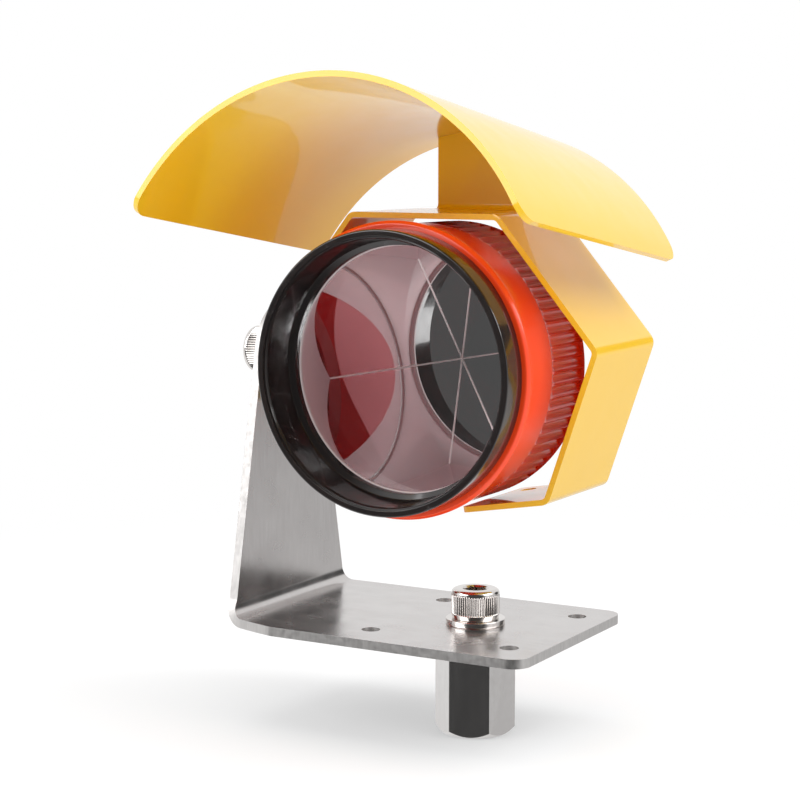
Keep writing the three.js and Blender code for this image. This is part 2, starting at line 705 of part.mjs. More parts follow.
function hoodGroup() {
  const group = new THREE.Group();
  group.name = "hood";
  const sheet = named("hood_sheet", hoodSheet(), looks.yellowPaint);
  const frame = hoodFrame();
  sheet.position.copy(frame.position);
  sheet.rotation.copy(frame.rotation);
  group.add(sheet, named("hood_strap", hoodStrap(), looks.yellowPaint));
  return group;
}

function canisterGroup() {
  const group = new THREE.Group();
  group.name = "canister";
  group.position.set(OPTICAL_X, PIVOT_Y, PIVOT_Z);
  const faceX = BOSS_FACE_X - OPTICAL_X;
  const insert = ringProfile(M8_RADIUS + M8_THREAD_CLEARANCE, INSERT_RADIUS, faceX, faceX + INSERT_LENGTH);
  const friction = ringProfile(
    M8_WASHER_HOLE_RADIUS, FRICTION_WASHER_RADIUS, faceX - FRICTION_WASHER_THICKNESS, faceX,
  );
  group.add(
    named("canister_body", canisterBody(), looks.redPlastic),
    named("front_ring", frontRing(), looks.blackGloss),
    named("ring_seal", turned(cordProfile(35.45, BEAD_Y + 0.7, 0.62)), looks.blackNylon),
    named("glass_seal", glassSeal(), looks.greyRubber),
    named("prism_glass", prismGlass(), looks.glass),
    named("prism_cradle", prismCradle(), looks.redPlastic),
    named("prism_spring", prismSpring(), looks.nickel),
    named("rear_cap", rearCap(), looks.blackNylon),
    named("rear_seal", turned(cordProfile(22.2, HOUSING_BACK_Y + 0.6, 0.6), 40), looks.greyRubber),
    named("thread_insert", turnedAboutX(insert), looks.brass),
    named("friction_washer", turnedAboutX(friction), looks.blackNylon),
  );
  return group;
}

const surveyPrism = new THREE.Group();
surveyPrism.name = "survey_prism";
const assembly = new THREE.Group();
assembly.name = "assembly";
assembly.position.z = PLATE_TOP_ABOVE_ORIGIN;
assembly.add(baseGroup(), bracketGroup(), hoodGroup(), canisterGroup());
surveyPrism.add(assembly);

export default surveyPrism;
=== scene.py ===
"""Looks for the survey prism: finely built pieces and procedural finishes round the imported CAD.

Lengths are millimetres in the build functions and metres in the finished meshes. +Z is up along the
swivel axis, the prism looks along -Y, and the tilt axis runs along X.
"""
import json
import math

import bmesh
import bpy
from mathutils import Matrix, Vector


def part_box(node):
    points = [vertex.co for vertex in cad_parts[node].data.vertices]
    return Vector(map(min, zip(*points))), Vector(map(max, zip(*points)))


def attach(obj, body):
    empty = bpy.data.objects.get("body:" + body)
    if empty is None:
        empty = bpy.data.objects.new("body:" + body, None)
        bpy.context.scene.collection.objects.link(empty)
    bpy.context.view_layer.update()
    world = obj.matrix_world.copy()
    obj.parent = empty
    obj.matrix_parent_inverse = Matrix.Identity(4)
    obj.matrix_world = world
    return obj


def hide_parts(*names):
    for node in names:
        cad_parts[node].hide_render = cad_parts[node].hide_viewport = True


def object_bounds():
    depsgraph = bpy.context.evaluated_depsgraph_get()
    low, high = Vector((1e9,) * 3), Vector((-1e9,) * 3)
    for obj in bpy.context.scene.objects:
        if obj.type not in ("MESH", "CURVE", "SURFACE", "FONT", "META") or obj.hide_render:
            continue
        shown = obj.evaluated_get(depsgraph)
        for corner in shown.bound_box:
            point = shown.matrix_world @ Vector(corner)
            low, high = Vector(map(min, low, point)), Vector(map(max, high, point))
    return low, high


MM = 0.001

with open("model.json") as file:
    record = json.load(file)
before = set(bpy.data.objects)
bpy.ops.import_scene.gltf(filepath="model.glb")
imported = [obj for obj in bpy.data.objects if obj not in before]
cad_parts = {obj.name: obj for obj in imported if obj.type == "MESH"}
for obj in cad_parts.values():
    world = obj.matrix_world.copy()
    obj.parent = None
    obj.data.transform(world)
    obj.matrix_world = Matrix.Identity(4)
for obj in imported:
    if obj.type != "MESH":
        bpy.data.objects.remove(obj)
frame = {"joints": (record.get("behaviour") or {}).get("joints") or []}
CAD_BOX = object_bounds()


# ---------------------------------------------------------------- places read from the frame
def joint_position(name):
    """A joint's point, in millimetres."""
    joint = next(j for j in frame["joints"] if j["name"] == name)
    return Vector(joint["pos_m"]) / MM


def box_mm(node):
    low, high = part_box(node)
    return low / MM, high / MM


TILT = joint_position("canister_tilt")
PLATE_LOW, PLATE_HIGH = box_mm("l_bracket")
HEX_LOW, HEX_HIGH = box_mm("hex_standoff")
HOOD_LOW, HOOD_HIGH = box_mm("hood_sheet")
STRAP_LOW, STRAP_HIGH = box_mm("hood_strap")
RING_LOW, RING_HIGH = box_mm("front_ring")
GLASS_LOW, GLASS_HIGH = box_mm("prism_glass")
CAP_LOW, CAP_HIGH = box_mm("rear_cap")
INSERT_LOW, INSERT_HIGH = box_mm("thread_insert")

BRACKET_SHEET = 2.5
PLATE_TOP = PLATE_LOW.z + BRACKET_SHEET
STRAP_SHEET = 1.5
HOOD_SHEET = 1.5


# ---------------------------------------------------------------- mesh helpers
def fillet(points, closed=True, steps=4):
    """Rounds the corners of a profile of (radius, position[, round]) points."""
    out = []
    count = len(points)
    for i, point in enumerate(points):
        here = Vector(point[:2])
        size = point[2] if len(point) > 2 else 0
        at_end = not closed and i in (0, count - 1)
        if size == 0 or at_end:
            out.append(here)
            continue
        before = (Vector(points[i - 1][:2]) - here).normalized()
        after = (Vector(points[(i + 1) % count][:2]) - here).normalized()
        half = before.angle(after) / 2
        reach = size / math.tan(half)
        centre = here + (before + after).normalized() * (size / math.sin(half))
        start = (here + before * reach - centre).normalized()
        end = (here + after * reach - centre).normalized()
        for k in range(steps + 1):
            out.append(centre + start.slerp(end, k / steps) * size)
    return out


def lathe(profile, axis, origin, segments=128, closed=True, relief=None):
    """A profile of (radius, position) turned about an axis through origin, as a bmesh.

    relief(angle, position, radius) is taken off the radius: ribs, knurls and threads.
    """
    turn = {
        "X": lambda r, p, a: Vector((p, r * math.cos(a), r * math.sin(a))),
        "Y": lambda r, p, a: Vector((r * math.sin(a), p, r * math.cos(a))),
        "Z": lambda r, p, a: Vector((r * math.cos(a), r * math.sin(a), p)),
    }[axis]
    bm = bmesh.new()
    rows = []
    for radius, position in profile:
        if radius < 1e-6:
            rows.append([bm.verts.new((origin + turn(0, position, 0)) * MM)])
            continue
        row = []
        for k in range(segments):
            angle = 2 * math.pi * k / segments
            r = radius - (relief(angle, position, radius) if relief else 0)
            row.append(bm.verts.new((origin + turn(r, position, angle)) * MM))
        rows.append(row)
    pairs = list(zip(rows, rows[1:] + rows[:1])) if closed else list(zip(rows, rows[1:]))
    for low, high in pairs:
        for k in range(segments):
            n = (k + 1) % segments
            corners = [low[k % len(low)], low[n % len(low)], high[n % len(high)], high[k % len(high)]]
            unique = list(dict.fromkeys(corners))
            if len(unique) > 2:
                bm.faces.new(unique)
    bmesh.ops.recalc_face_normals(bm, faces=bm.faces)
    return bm


def mesh_object(name, bm, sharp=40):
    """Turns a bmesh into a shaded object."""
    mesh = bpy.data.meshes.new(name)
    bm.to_mesh(mesh)
    bm.free()
    obj = bpy.data.objects.new(name, mesh)
    bpy.context.scene.collection.objects.link(obj)
    mesh.shade_smooth()
    mesh.set_sharp_from_angle(angle=math.radians(sharp))
    weighted = obj.modifiers.new("weighted", "WEIGHTED_NORMAL")
    weighted.keep_sharp = True
    weighted.weight = 80
    return obj


def carve(obj, tools, operation="DIFFERENCE"):
    """Booleans each tool bmesh with obj and bakes the result into its mesh."""
    for tool_bm in tools:
        mesh = bpy.data.meshes.new("tool")
        tool_bm.to_mesh(mesh)
        tool_bm.free()
        tool = bpy.data.objects.new("tool", mesh)
        bpy.context.scene.collection.objects.link(tool)
        cut = obj.modifiers.new("cut", "BOOLEAN")
        cut.operation = operation
        cut.solver = "MANIFOLD"
        cut.object = tool
        obj.modifiers.move(len(obj.modifiers) - 1, 0)
        with bpy.context.temp_override(object=obj, active_object=obj, selected_objects=[obj]):
            bpy.ops.object.modifier_apply(modifier="cut")
        bpy.data.objects.remove(tool)
    obj.data.shade_smooth()
    obj.data.set_sharp_from_angle(angle=math.radians(40))
    return obj


def prism(points, low, high, axis="Z", origin=Vector()):
    """A polygon of (u, v) points pushed along an axis, as a bmesh."""
    place = {
        "X": lambda u, v, w: Vector((w, u, v)),
        "Y": lambda u, v, w: Vector((u, w, v)),
        "Z": lambda u, v, w: Vector((u, v, w)),
    }[axis]
    bm = bmesh.new()
    rings = [[bm.verts.new((origin + place(u, v, w)) * MM) for u, v in points] for w in (low, high)]
    count = len(points)
    bm.faces.new(rings[0])
    bm.faces.new(rings[1])
    for k in range(count):
        n = (k + 1) % count
        bm.faces.new([rings[0][k], rings[0][n], rings[1][n], rings[1][k]])
    bmesh.ops.recalc_face_normals(bm, faces=bm.faces)
    return bm


def polygon(sides, across_flats, corner_angle=0.0):
    radius = across_flats / 2 / math.cos(math.pi / sides)
    angles = [corner_angle + 2 * math.pi * k / sides for k in range(sides)]
    return [(radius * math.cos(a), radius * math.sin(a)) for a in angles]


def arc(centre, radius, start, end, steps):
    """Points on an arc, angles in degrees."""
    angles = [math.radians(start + (end - start) * k / steps) for k in range(steps + 1)]
    return [(centre[0] + radius * math.cos(a), centre[1] + radius * math.sin(a)) for a in angles]


def circle(centre, radius, steps=32):
    return arc(centre, radius, 0, 360, steps)[:-1]


# ---------------------------------------------------------------- bent sheet metal
class BendPath:
    """The outer face of a bent sheet seen from its edge: straight runs joined by arcs.

    The corners turn clockwise, and depth goes to the right of the path, into the sheet.
    """

    def __init__(self, corners, radius, arc_steps=6):
        self.runs = []
        self.cuts = []
        self.length = 0
        points = [Vector(c) for c in corners]
        start = points[0]
        for i in range(1, len(points)):
            heading = (points[i] - points[i - 1]).normalized()
            last = i == len(points) - 1
            turn = 0 if last else heading.angle((points[i + 1] - points[i]).normalized())
            end = points[i] - heading * radius * math.tan(turn / 2)
            self.add_run("line", (end - start).length, (start, heading))
            if not last:
                side = Vector((heading.y, -heading.x))
                centre = end + side * radius
                self.add_run("arc", radius * turn, (centre, -side, radius))
                first = self.length - radius * turn
                steps = [first + radius * turn * k / arc_steps for k in range(arc_steps + 1)]
                self.cuts.extend(steps)
                start = centre + self.rotated(-side, turn) * radius

    @staticmethod
    def rotated(vector, angle):
        c, s = math.cos(angle), math.sin(angle)
        return Vector((vector.x * c + vector.y * s, vector.y * c - vector.x * s))

    def add_run(self, kind, length, data):
        self.runs.append((kind, self.length, length, data))
        self.length += length

    def place(self, s, depth):
        for kind, start, length, data in self.runs:
            if s <= start + length + 1e-6:
                break
        if kind == "line":
            origin, heading = data
            side = Vector((heading.y, -heading.x))
            return origin + heading * (s - start) + side * depth
        centre, out, radius = data
        return centre + self.rotated(out, (s - start) / radius) * (radius - depth)


def bent_sheet(name, outline, holes, cuts, place, sheet, edge_round=0.25, edge_steps=2):
    """Cuts a flat pattern at the bend lines, folds it with place(s, w, depth) and gives it thickness.

    Material 0 is the sheet's faces and material 1 its cut edge.
    """
    flat = bmesh.new()
    for loop in [outline] + holes:
        verts = [flat.verts.new((s, w, 0)) for s, w in loop]
        for k, vert in enumerate(verts):
            flat.edges.new((vert, verts[(k + 1) % len(verts)]))
    bmesh.ops.triangle_fill(flat, use_beauty=True, use_dissolve=False, edges=flat.edges)
    for axis, value in cuts:
        spot = Vector((value, 0, 0)) if axis == "s" else Vector((0, value, 0))
        normal = Vector((1, 0, 0)) if axis == "s" else Vector((0, 1, 0))
        everything = list(flat.verts) + list(flat.edges) + list(flat.faces)
        bmesh.ops.bisect_plane(flat, geom=everything, dist=1e-4, plane_co=spot, plane_no=normal)
    bmesh.ops.remove_doubles(flat, verts=flat.verts, dist=1e-3)

    bm = bmesh.new()
    layers = []
    for depth in (0, sheet):
        layers.append({v: bm.verts.new(place(v.co.x, v.co.y, depth) * MM) for v in flat.verts})
    outer, inner = layers
    for face in flat.faces:
        corners = list(face.verts)
        bm.faces.new([outer[v] for v in corners])
        bm.faces.new([inner[v] for v in reversed(corners)])
    rim = []
    for edge in flat.edges:
        if len(edge.link_faces) == 1:
            a, b = edge.verts
            face = bm.faces.new([outer[a], outer[b], inner[b], inner[a]])
            face.material_index = 1
            rim.append(bm.edges.get((outer[a], outer[b])))
            rim.append(bm.edges.get((inner[a], inner[b])))
    flat.free()
    bmesh.ops.recalc_face_normals(bm, faces=bm.faces)
    if edge_round:
        bmesh.ops.bevel(
            bm, geom=rim, offset=edge_round * MM, segments=edge_steps, profile=0.5,
            affect="EDGES", clamp_overlap=True, material=1,
        )
    return mesh_object(name, bm, sharp=50)


# ---------------------------------------------------------------- node materials
# The painted patch of light on the canister's inside wall, with its painted emission:
POOL_DEPTH = 0.3  # millimetres behind the tilt axis where the pale part of the wall ends
POOL_RISE = 2.0  # millimetres above the tilt axis where it reaches farthest back
POOL_BOW = 0.030  # how fast its edge bows forward above and below
POOL_BLUR = 0.2
PAINTED_POOL_GLOW = 0.07


def add_node(tree, kind, inputs=None, **settings):
    """Adds a node whose inputs are values or other nodes' outputs."""
    made = tree.nodes.new(kind)
    for key, value in settings.items():
        setattr(made, key, value)
    for key, value in (inputs or {}).items():
        if hasattr(value, "is_output"):
            tree.links.new(value, made.inputs[key])
        else:
            made.inputs[key].default_value = value
    return made


class Finish:
    """A Principled material with helpers for noise-driven colour, roughness and bump."""

    def __init__(self, name, color, roughness, metallic=0.0, **inputs):
        self.material = bpy.data.materials.new(name)
        self.material.use_nodes = True
        self.tree = self.material.node_tree
        self.shader = self.tree.nodes["Principled BSDF"]
        self.output = self.tree.nodes["Material Output"]
        self.color = (*color, 1)
        self.shader.inputs["Base Color"].default_value = self.color
        self.shader.inputs["Roughness"].default_value = roughness
        self.shader.inputs["Metallic"].default_value = metallic
        for label, value in inputs.items():
            self.shader.inputs[label.replace("_", " ")].default_value = value
        self.roughness = roughness
        self.coordinates = self.node("ShaderNodeTexCoord").outputs["Object"]
        self.height = None

    def node(self, kind, inputs=None, **settings):
        return add_node(self.tree, kind, inputs, **settings)

    def math(self, operation, first, second):
        return self.node("ShaderNodeMath", {0: first, 1: second}, operation=operation).outputs[0]

    def noise(self, pitch, stretch=(1, 1, 1), detail=3.0, roughness=0.5):
        """Noise with features about pitch millimetres wide, drawn out by stretch."""
        scale = [1 / (pitch * MM * s) for s in stretch]
        mapped = self.node("ShaderNodeMapping", {"Vector": self.coordinates, "Scale": scale})
        inputs = {"Vector": mapped.outputs[0], "Scale": 1.0, "Detail": detail, "Roughness": roughness}
        return self.node("ShaderNodeTexNoise", inputs).outputs["Fac"]

    def ranged(self, value, low, high, from_low=0.3, from_high=0.7):
        inputs = {"Value": value, "From Min": from_low, "From Max": from_high, "To Min": low, "To Max": high}
        return self.node("ShaderNodeMapRange", inputs).outputs["Result"]

    def tint(self, factor, other):
        """Mixes another colour in where factor is high."""
        mixed = self.node(
            "ShaderNodeMix", {"Factor": factor, "A": self.color, "B": (*other, 1)}, data_type="RGBA",
        )
        source = self.shader.inputs["Base Color"]
        if source.is_linked:
            self.tree.links.new(source.links[0].from_socket, mixed.inputs["A"])
        self.tree.links.new(mixed.outputs["Result"], source)
        return self

    def vary_roughness(self, factor, spread):
        """Roughness goes up and down by spread with the factor."""
        low, high = max(self.roughness - spread, 0.01), self.roughness + spread
        self.tree.links.new(self.ranged(factor, low, high), self.shader.inputs["Roughness"])
        return self

    def bump(self, factor, depth, strength=1.0):
        """Adds a height of depth millimetres."""
        inputs = {"Height": factor, "Strength": strength, "Distance": depth * MM}
        made = self.node("ShaderNodeBump", inputs)
        if self.height:
            self.tree.links.new(self.height, made.inputs["Normal"])
        self.height = made.outputs["Normal"]
        self.tree.links.new(self.height, self.shader.inputs["Normal"])
        return self

    def edge_wear(self, other, amount=0.6):
        """Lightens convex edges, broken up by noise."""
        pointiness = self.node("ShaderNodeNewGeometry").outputs["Pointiness"]
        edge = self.ranged(pointiness, 0, amount, 0.52, 0.62)
        broken = self.ranged(self.noise(2.5), 0.3, 1.0)
        return self.tint(self.math("MULTIPLY", edge, broken), other)


def satin_steel(name, stretch, roughness=0.24):
    """Fine-brushed stainless sheet; stretch runs along the brushing."""
    look = Finish(name, (0.60, 0.575, 0.565), roughness, 1.0)
    look.tint(look.ranged(look.noise(30), 0, 0.5), (0.53, 0.51, 0.505))
    look.tint(look.ranged(look.noise(0.5, stretch), 0, 0.35), (0.68, 0.66, 0.65))
    look.vary_roughness(look.noise(9), 0.05)
    look.bump(look.noise(0.25, stretch), 0.004, 0.5)
    return look.material


def cut_edge_steel():
    """The laser-cut edge: grey, satin and striated through the thickness."""
    look = Finish("steel_cut_edge", (0.66, 0.64, 0.63), 0.45, 1.0)
    look.tint(look.ranged(look.noise(0.7, (1, 1, 6)), 0, 0.45), (0.45, 0.44, 0.43))
    look.vary_roughness(look.noise(1.5), 0.08)
    look.bump(look.noise(0.5, (1, 1, 8)), 0.012, 0.6)
    return look.material


def machined_steel():
    """The bar stock of the standoff, with faint lines along its length."""
    look = Finish("standoff_steel", (0.62, 0.60, 0.59), 0.2, 1.0)
    look.tint(look.ranged(look.noise(12, (1, 1, 3)), 0, 0.4), (0.54, 0.52, 0.51))
    look.vary_roughness(look.noise(3, (1, 1, 6)), 0.06)
    look.bump(look.noise(0.4, (1, 1, 30)), 0.003, 0.5)
    look.edge_wear((0.8, 0.79, 0.78))
    return look.material


def bright_plating(name="bright_nickel", roughness=0.11):
    look = Finish(name, (0.74, 0.71, 0.69), roughness, 1.0)
    look.tint(look.ranged(look.noise(5), 0, 0.4), (0.64, 0.60, 0.57))
    look.vary_roughness(look.noise(0.9), 0.04)
    look.bump(look.noise(0.3), 0.002, 0.4)
    return look.material


def yellow_paint(name="yellow_powder_coat"):
    """Glossy powder coat with a little orange peel."""
    look = Finish(name, (0.82, 0.50, 0.010), 0.32, 0.0, Coat_Weight=0.8, Coat_Roughness=0.04)
    look.tint(look.ranged(look.noise(45), 0, 0.25), (0.77, 0.45, 0.008))
    look.vary_roughness(look.noise(8), 0.04)
    look.bump(look.noise(1.8, detail=1), 0.004, 0.35)
    look.edge_wear((0.90, 0.62, 0.06), 0.35)
    return look.material


def red_plastic(name="orange_red_plastic", color=(0.90, 0.060, 0.009)):
    look = Finish(name, color, 0.24, 0.0, Coat_Weight=0.4, Coat_Roughness=0.06)
    look.tint(look.ranged(look.noise(40), 0, 0.3), tuple(0.9 * c for c in color))
    look.vary_roughness(look.noise(5), 0.03)
    look.bump(look.noise(0.7), 0.0015, 0.3)
    look.edge_wear((0.95, 0.13, 0.05), 0.3)
    return look.material


def canister_inside():
    """Deep red walls behind the glass, painted paler and glowing as painted light where light coming through
    the glass would reach, and darker as painted shade on the step behind the tilt axis and deeper.
    """
    look = Finish("inside_red_plastic", (0.40, 0.010, 0.011), 0.5)
    place = look.node("ShaderNodeSeparateXYZ", {0: look.coordinates})
    depth = look.math("SUBTRACT", place.outputs["Y"], (TILT.y + POOL_DEPTH) * MM)
    height = look.math("SUBTRACT", place.outputs["Z"], (TILT.z + POOL_RISE) * MM)
    bow = look.math("MULTIPLY", look.math("POWER", height, 2.0), POOL_BOW / MM)
    edge = look.math("ADD", depth, bow)
    painted_pool = look.ranged(edge, 1.0, 0.0, -POOL_BLUR * MM, POOL_BLUR * MM)
    # painted light: paler where light through the glass would reach
    look.tint(painted_pool, (0.58, 0.20, 0.22))
    # painted emission over the same patch of light
    glow = look.math("MULTIPLY", painted_pool, PAINTED_POOL_GLOW)
    # painted shade on the forward-facing step behind the tilt axis and everything deeper
    shoulder_shade = look.ranged(depth, 0.0, 1.0, 0.1 * MM, 0.4 * MM)
    look.tint(shoulder_shade, (0.20, 0.004, 0.005))
    look.shader.inputs["Specular IOR Level"].default_value = 0.15
    look.shader.inputs["Emission Color"].default_value = (1, 0.28, 0.3, 1)
    look.tree.links.new(glow, look.shader.inputs["Emission Strength"])
    look.vary_roughness(look.noise(5), 0.05)
    look.bump(look.noise(0.7), 0.0015, 0.3)
    return look.material


def black_gloss():
    look = Finish("black_gloss", (0.012, 0.010, 0.010), 0.16, 0.0, Coat_Weight=0.6, Coat_Roughness=0.05)
    look.tint(look.ranged(look.noise(16), 0, 0.6), (0.02, 0.013, 0.012))
    look.vary_roughness(look.noise(3), 0.05)
    look.bump(look.noise(0.35, (1, 6, 1)), 0.002, 0.4)
    look.edge_wear((0.07, 0.065, 0.065), 0.5)
    return look.material


def dull_plastic(name, color, roughness=0.5):
    look = Finish(name, color, roughness)
    look.tint(look.ranged(look.noise(4), 0, 0.5), tuple(1.5 * c for c in color))
    look.vary_roughness(look.noise(1.2), 0.08)
    look.bump(look.noise(0.3), 0.01, 0.5)
    return look.material


def machined_brass():
    look = Finish("machined_brass", (0.72, 0.50, 0.20), 0.25, 1.0)
    look.tint(look.ranged(look.noise(2), 0, 0.4), (0.6, 0.38, 0.14))
    look.vary_roughness(look.noise(0.8), 0.06)
    look.bump(look.noise(0.2), 0.003, 0.4)
    return look.material


def see_through_in_shadow(look, shader):
    """Lets light rays pass straight through, so that the canister's inside is lit without noise."""
    clear = look.node("ShaderNodeBsdfTransparent", {"Color": (0.93, 0.93, 0.93, 1)})
    path = look.node("ShaderNodeLightPath")
    soft = look.math("MAXIMUM", path.outputs["Is Shadow Ray"], path.outputs["Is Diffuse Ray"])
    mix = look.node("ShaderNodeMixShader", {0: soft, 1: shader, 2: clear.outputs[0]})
    look.tree.links.new(mix.outputs[0], look.output.inputs["Surface"])
    return look.material


def polished_glass():
    """Optical glass with faint smears in its tint."""
    look = Finish("optical_glass", (1, 1, 1), 0.0, 0.0, Transmission_Weight=1.0, IOR=1.517)
    look.tint(look.ranged(look.noise(20), 0, 0.3), (0.985, 0.972, 0.976))
    return see_through_in_shadow(look, look.shader.outputs[0])


def ground_glass(name, color, cover, glow=0.0):
    """Frosted glass: part white surface, part see-through; a painted emission stands in for light carried in
    by the block.
    """
    look = Finish(name, color, 0.6, 0.0, Emission_Color=(*color, 1), Emission_Strength=glow)
    look.tint(look.ranged(look.noise(6), 0, 0.3), tuple(0.92 * c for c in color))
    through = look.node("ShaderNodeBsdfTransparent", {"Color": (0.9, 0.88, 0.88, 1)})
    mix = look.node(
        "ShaderNodeMixShader", {0: cover, 1: through.outputs[0], 2: look.shader.outputs[0]},
    )
    return see_through_in_shadow(look, mix.outputs[0])


PLATE_STEEL = satin_steel("plate_steel", (14, 1, 14))
EDGE_STEEL = cut_edge_steel()
BAR_STEEL = machined_steel()
NICKEL = bright_plating()
YELLOW = yellow_paint()
RED = red_plastic()
RED_INSIDE = canister_inside()
BLACK = black_gloss()
NYLON = dull_plastic("black_nylon", (0.018, 0.018, 0.018))
RUBBER = dull_plastic("grey_rubber", (0.30, 0.29, 0.29), 0.45)
# the last number is a painted emission strength
SILICONE = ground_glass("clear_silicone", (0.60, 0.52, 0.53), 0.9, 0.15)
BRASS = machined_brass()
GLASS = polished_glass()
# the last number is a painted emission strength
GROUND = ground_glass("ground_glass", (0.73, 0.58, 0.605), 0.75, 0.06)
CHAMFER = ground_glass("ground_chamfer", (1.0, 0.93, 0.93), 0.9)


def hand_in(obj, body, materials, node=None):
    """Gives a piece its materials and its body, and hides the CAD node it stands for."""
    faces = obj.data.polygons
    chosen = [face.material_index for face in faces]
    obj.data.materials.clear()  # a boolean leaves an empty slot behind
    for material in materials:
        obj.data.materials.append(material)
    faces.foreach_set("material_index", [min(index, len(materials) - 1) for index in chosen])
    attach(obj, body)
    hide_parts(node or obj.name.replace("look_", ""))
    return obj


# ---------------------------------------------------------------- screws and washers
M8_RADIUS = 4.0
HEAD_RADIUS = 6.5
HEAD_HEIGHT = 8.0
KNURL_COUNT = 60
KNURL_DEPTH = 0.28
KNURL_LOW = 1.3
KNURL_HIGH = 6.5
SOCKET_FLATS = 6.0
SOCKET_DEPTH = 4.0
M8_PITCH = 1.25
THREAD_DEPTH = 0.6


def knurl(angle, position, radius):
    """Straight grip grooves round a screw head."""
    if not KNURL_LOW < position < KNURL_HIGH or radius < HEAD_RADIUS - 0.05:
        return 0
    return KNURL_DEPTH * abs(math.sin(angle * KNURL_COUNT / 2)) ** 1.5


def thread(pitch, depth):
    """A single-start triangular thread as a relief."""
    def relief(angle, position, radius):
        phase = (position / pitch - angle / (2 * math.pi)) % 1
        return depth * abs(2 * phase - 1)
    return relief


def socket_screw(name, length, turn, origin):
    """A knurled socket-head screw along +Z of the given rotation, its head's seat at the origin."""
    head = fillet([
        (0, 0), (HEAD_RADIUS - 0.25, 0, 0.2), (HEAD_RADIUS - 0.05, 1.0, 0.2),
        (HEAD_RADIUS, KNURL_LOW), (HEAD_RADIUS, HEAD_HEIGHT, 1.25), (0, HEAD_HEIGHT),
    ], closed=False, steps=8)
    rows = []
    for before, after in zip(head, head[1:]):
        rows.append(before)
        if before.y <= KNURL_LOW <= after.y - 2:
            rows.extend([
                Vector((HEAD_RADIUS, KNURL_LOW + 0.25)), Vector((HEAD_RADIUS, KNURL_HIGH - 0.35)),
                Vector((HEAD_RADIUS, KNURL_HIGH + 0.01)),
            ])
    rows.append(head[-1])
    bm = lathe(rows, "Z", Vector(), KNURL_COUNT * 8, closed=False, relief=knurl)
    screw = mesh_object(name, bm, sharp=55)
    mouth = SOCKET_FLATS / math.sqrt(3) + 0.15
    carve(screw, [
        prism(polygon(6, SOCKET_FLATS), HEAD_HEIGHT - SOCKET_DEPTH, HEAD_HEIGHT + 1),
        lathe([(0, HEAD_HEIGHT - 0.45), (mouth - 0.45, HEAD_HEIGHT - 0.45), (mouth + 0.2, HEAD_HEIGHT + 0.2),
               (0, HEAD_HEIGHT + 0.2)], "Z", Vector(), 48, closed=False),
    ])
    count = int(length / M8_PITCH * 6)
    shank = [(0, -length), (M8_RADIUS - 0.9, -length)]
    shank += [(M8_RADIUS, 0.8 - length + (length - 1.0) * k / count) for k in range(count + 1)]
    shank += [(M8_RADIUS - 0.4, 0.2), (0, 0.2)]
    cut = thread(M8_PITCH, THREAD_DEPTH)
    relief = lambda a, p, r: cut(a, p, r) if r == M8_RADIUS else 0
    carve(screw, [lathe([Vector(p) for p in shank], "Z", Vector(), 48, closed=False, relief=relief)], "UNION")
    screw.data.transform(Matrix.Translation(origin * MM) @ turn)
    return screw


def washer(name, axis, origin, inner, outer, thickness, rounding=0.25):
    profile = fillet([
        (inner, 0, rounding * 0.6), (outer, 0, rounding), (outer, thickness, rounding),
        (inner, thickness, rounding * 0.6),
    ])
    return mesh_object(name, lathe(profile, axis, origin, 128))


def build_base():
    """Standoff, base washer and base screw."""
    washer_low, washer_high = box_mm("base_washer")
    thickness = washer_high.z - washer_low.z
    swivel = Vector((0, 0, PLATE_TOP))
    base_washer = washer("look_base_washer", "Z", swivel, 4.2, washer_high.x, thickness)
    hand_in(base_washer, "base", [NICKEL], "base_washer")
    seat = swivel + Vector((0, 0, thickness))
    screw_low = box_mm("base_screw")[0]
    screw = socket_screw("look_base_screw", seat.z - screw_low.z, Matrix.Rotation(0.35, 4, "Z"), seat)
    hand_in(screw, "clamp_screw", [NICKEL], "base_screw")
    hand_in(hex_standoff(), "base", [BAR_STEEL], "hex_standoff")


def hex_standoff():
    """Hexagonal bar with a turned chamfer at the foot and a threaded bore."""
    corner = math.radians(18)
    flats = 19.0
    bm = prism(polygon(6, flats, corner), HEX_LOW.z, HEX_HIGH.z)
    upright = [e for e in bm.edges if abs(e.verts[0].co.z - e.verts[1].co.z) > 1 * MM]
    bmesh.ops.bevel(bm, geom=upright, offset=0.3 * MM, segments=3, profile=0.5, affect="EDGES")
    obj = mesh_object("look_hex_standoff", bm, sharp=35)
    across = flats / math.sqrt(3)
    envelope = lathe(fillet([
        (0, HEX_LOW.z), (across - 1.7, HEX_LOW.z, 0.3), (across + 0.3, HEX_LOW.z + 1.9),
        (across + 0.3, HEX_HIGH.z + 1), (0, HEX_HIGH.z + 1),
    ], closed=False), "Z", Vector(), 192, closed=False)
    carve(obj, [envelope], "INTERSECT")
    rows = 64
    depth = -HEX_LOW.z
    bore = [(0, HEX_LOW.z - 0.5), (5.6, HEX_LOW.z - 0.5), (5.6, HEX_LOW.z), (5.0, HEX_LOW.z + 0.7)]
    bore += [(5.0, HEX_LOW.z + 0.8 + (depth - 1.0) * k / rows) for k in range(rows + 1)]
    bore += [(4.4, 0), (0, 0)]
    cut = thread(1.5, 0.6)
    relief = lambda a, p, r: cut(a, p, r) if r == 5.0 else 0
    upper = [(0, HEX_HIGH.z - 10), (4.3, HEX_HIGH.z - 10), (4.3, HEX_HIGH.z + 1), (0, HEX_HIGH.z + 1)]
    carve(obj, [
        lathe([Vector(p) for p in bore], "Z", Vector(), 64, closed=False, relief=relief),
        lathe([Vector(p) for p in upper], "Z", Vector(), 48, closed=False),
    ])
    return obj


# ---------------------------------------------------------------- bracket
BEND_OUTER = 6.0
ARM_TOP_RADIUS = 14.1
ARM_TAPER = math.radians(11.1)
PLATE_CORNER = 5.0
HOLE_PITCH = 41.0
SMALL_HOLE = 2.5
SCREW_HOLE = 4.5


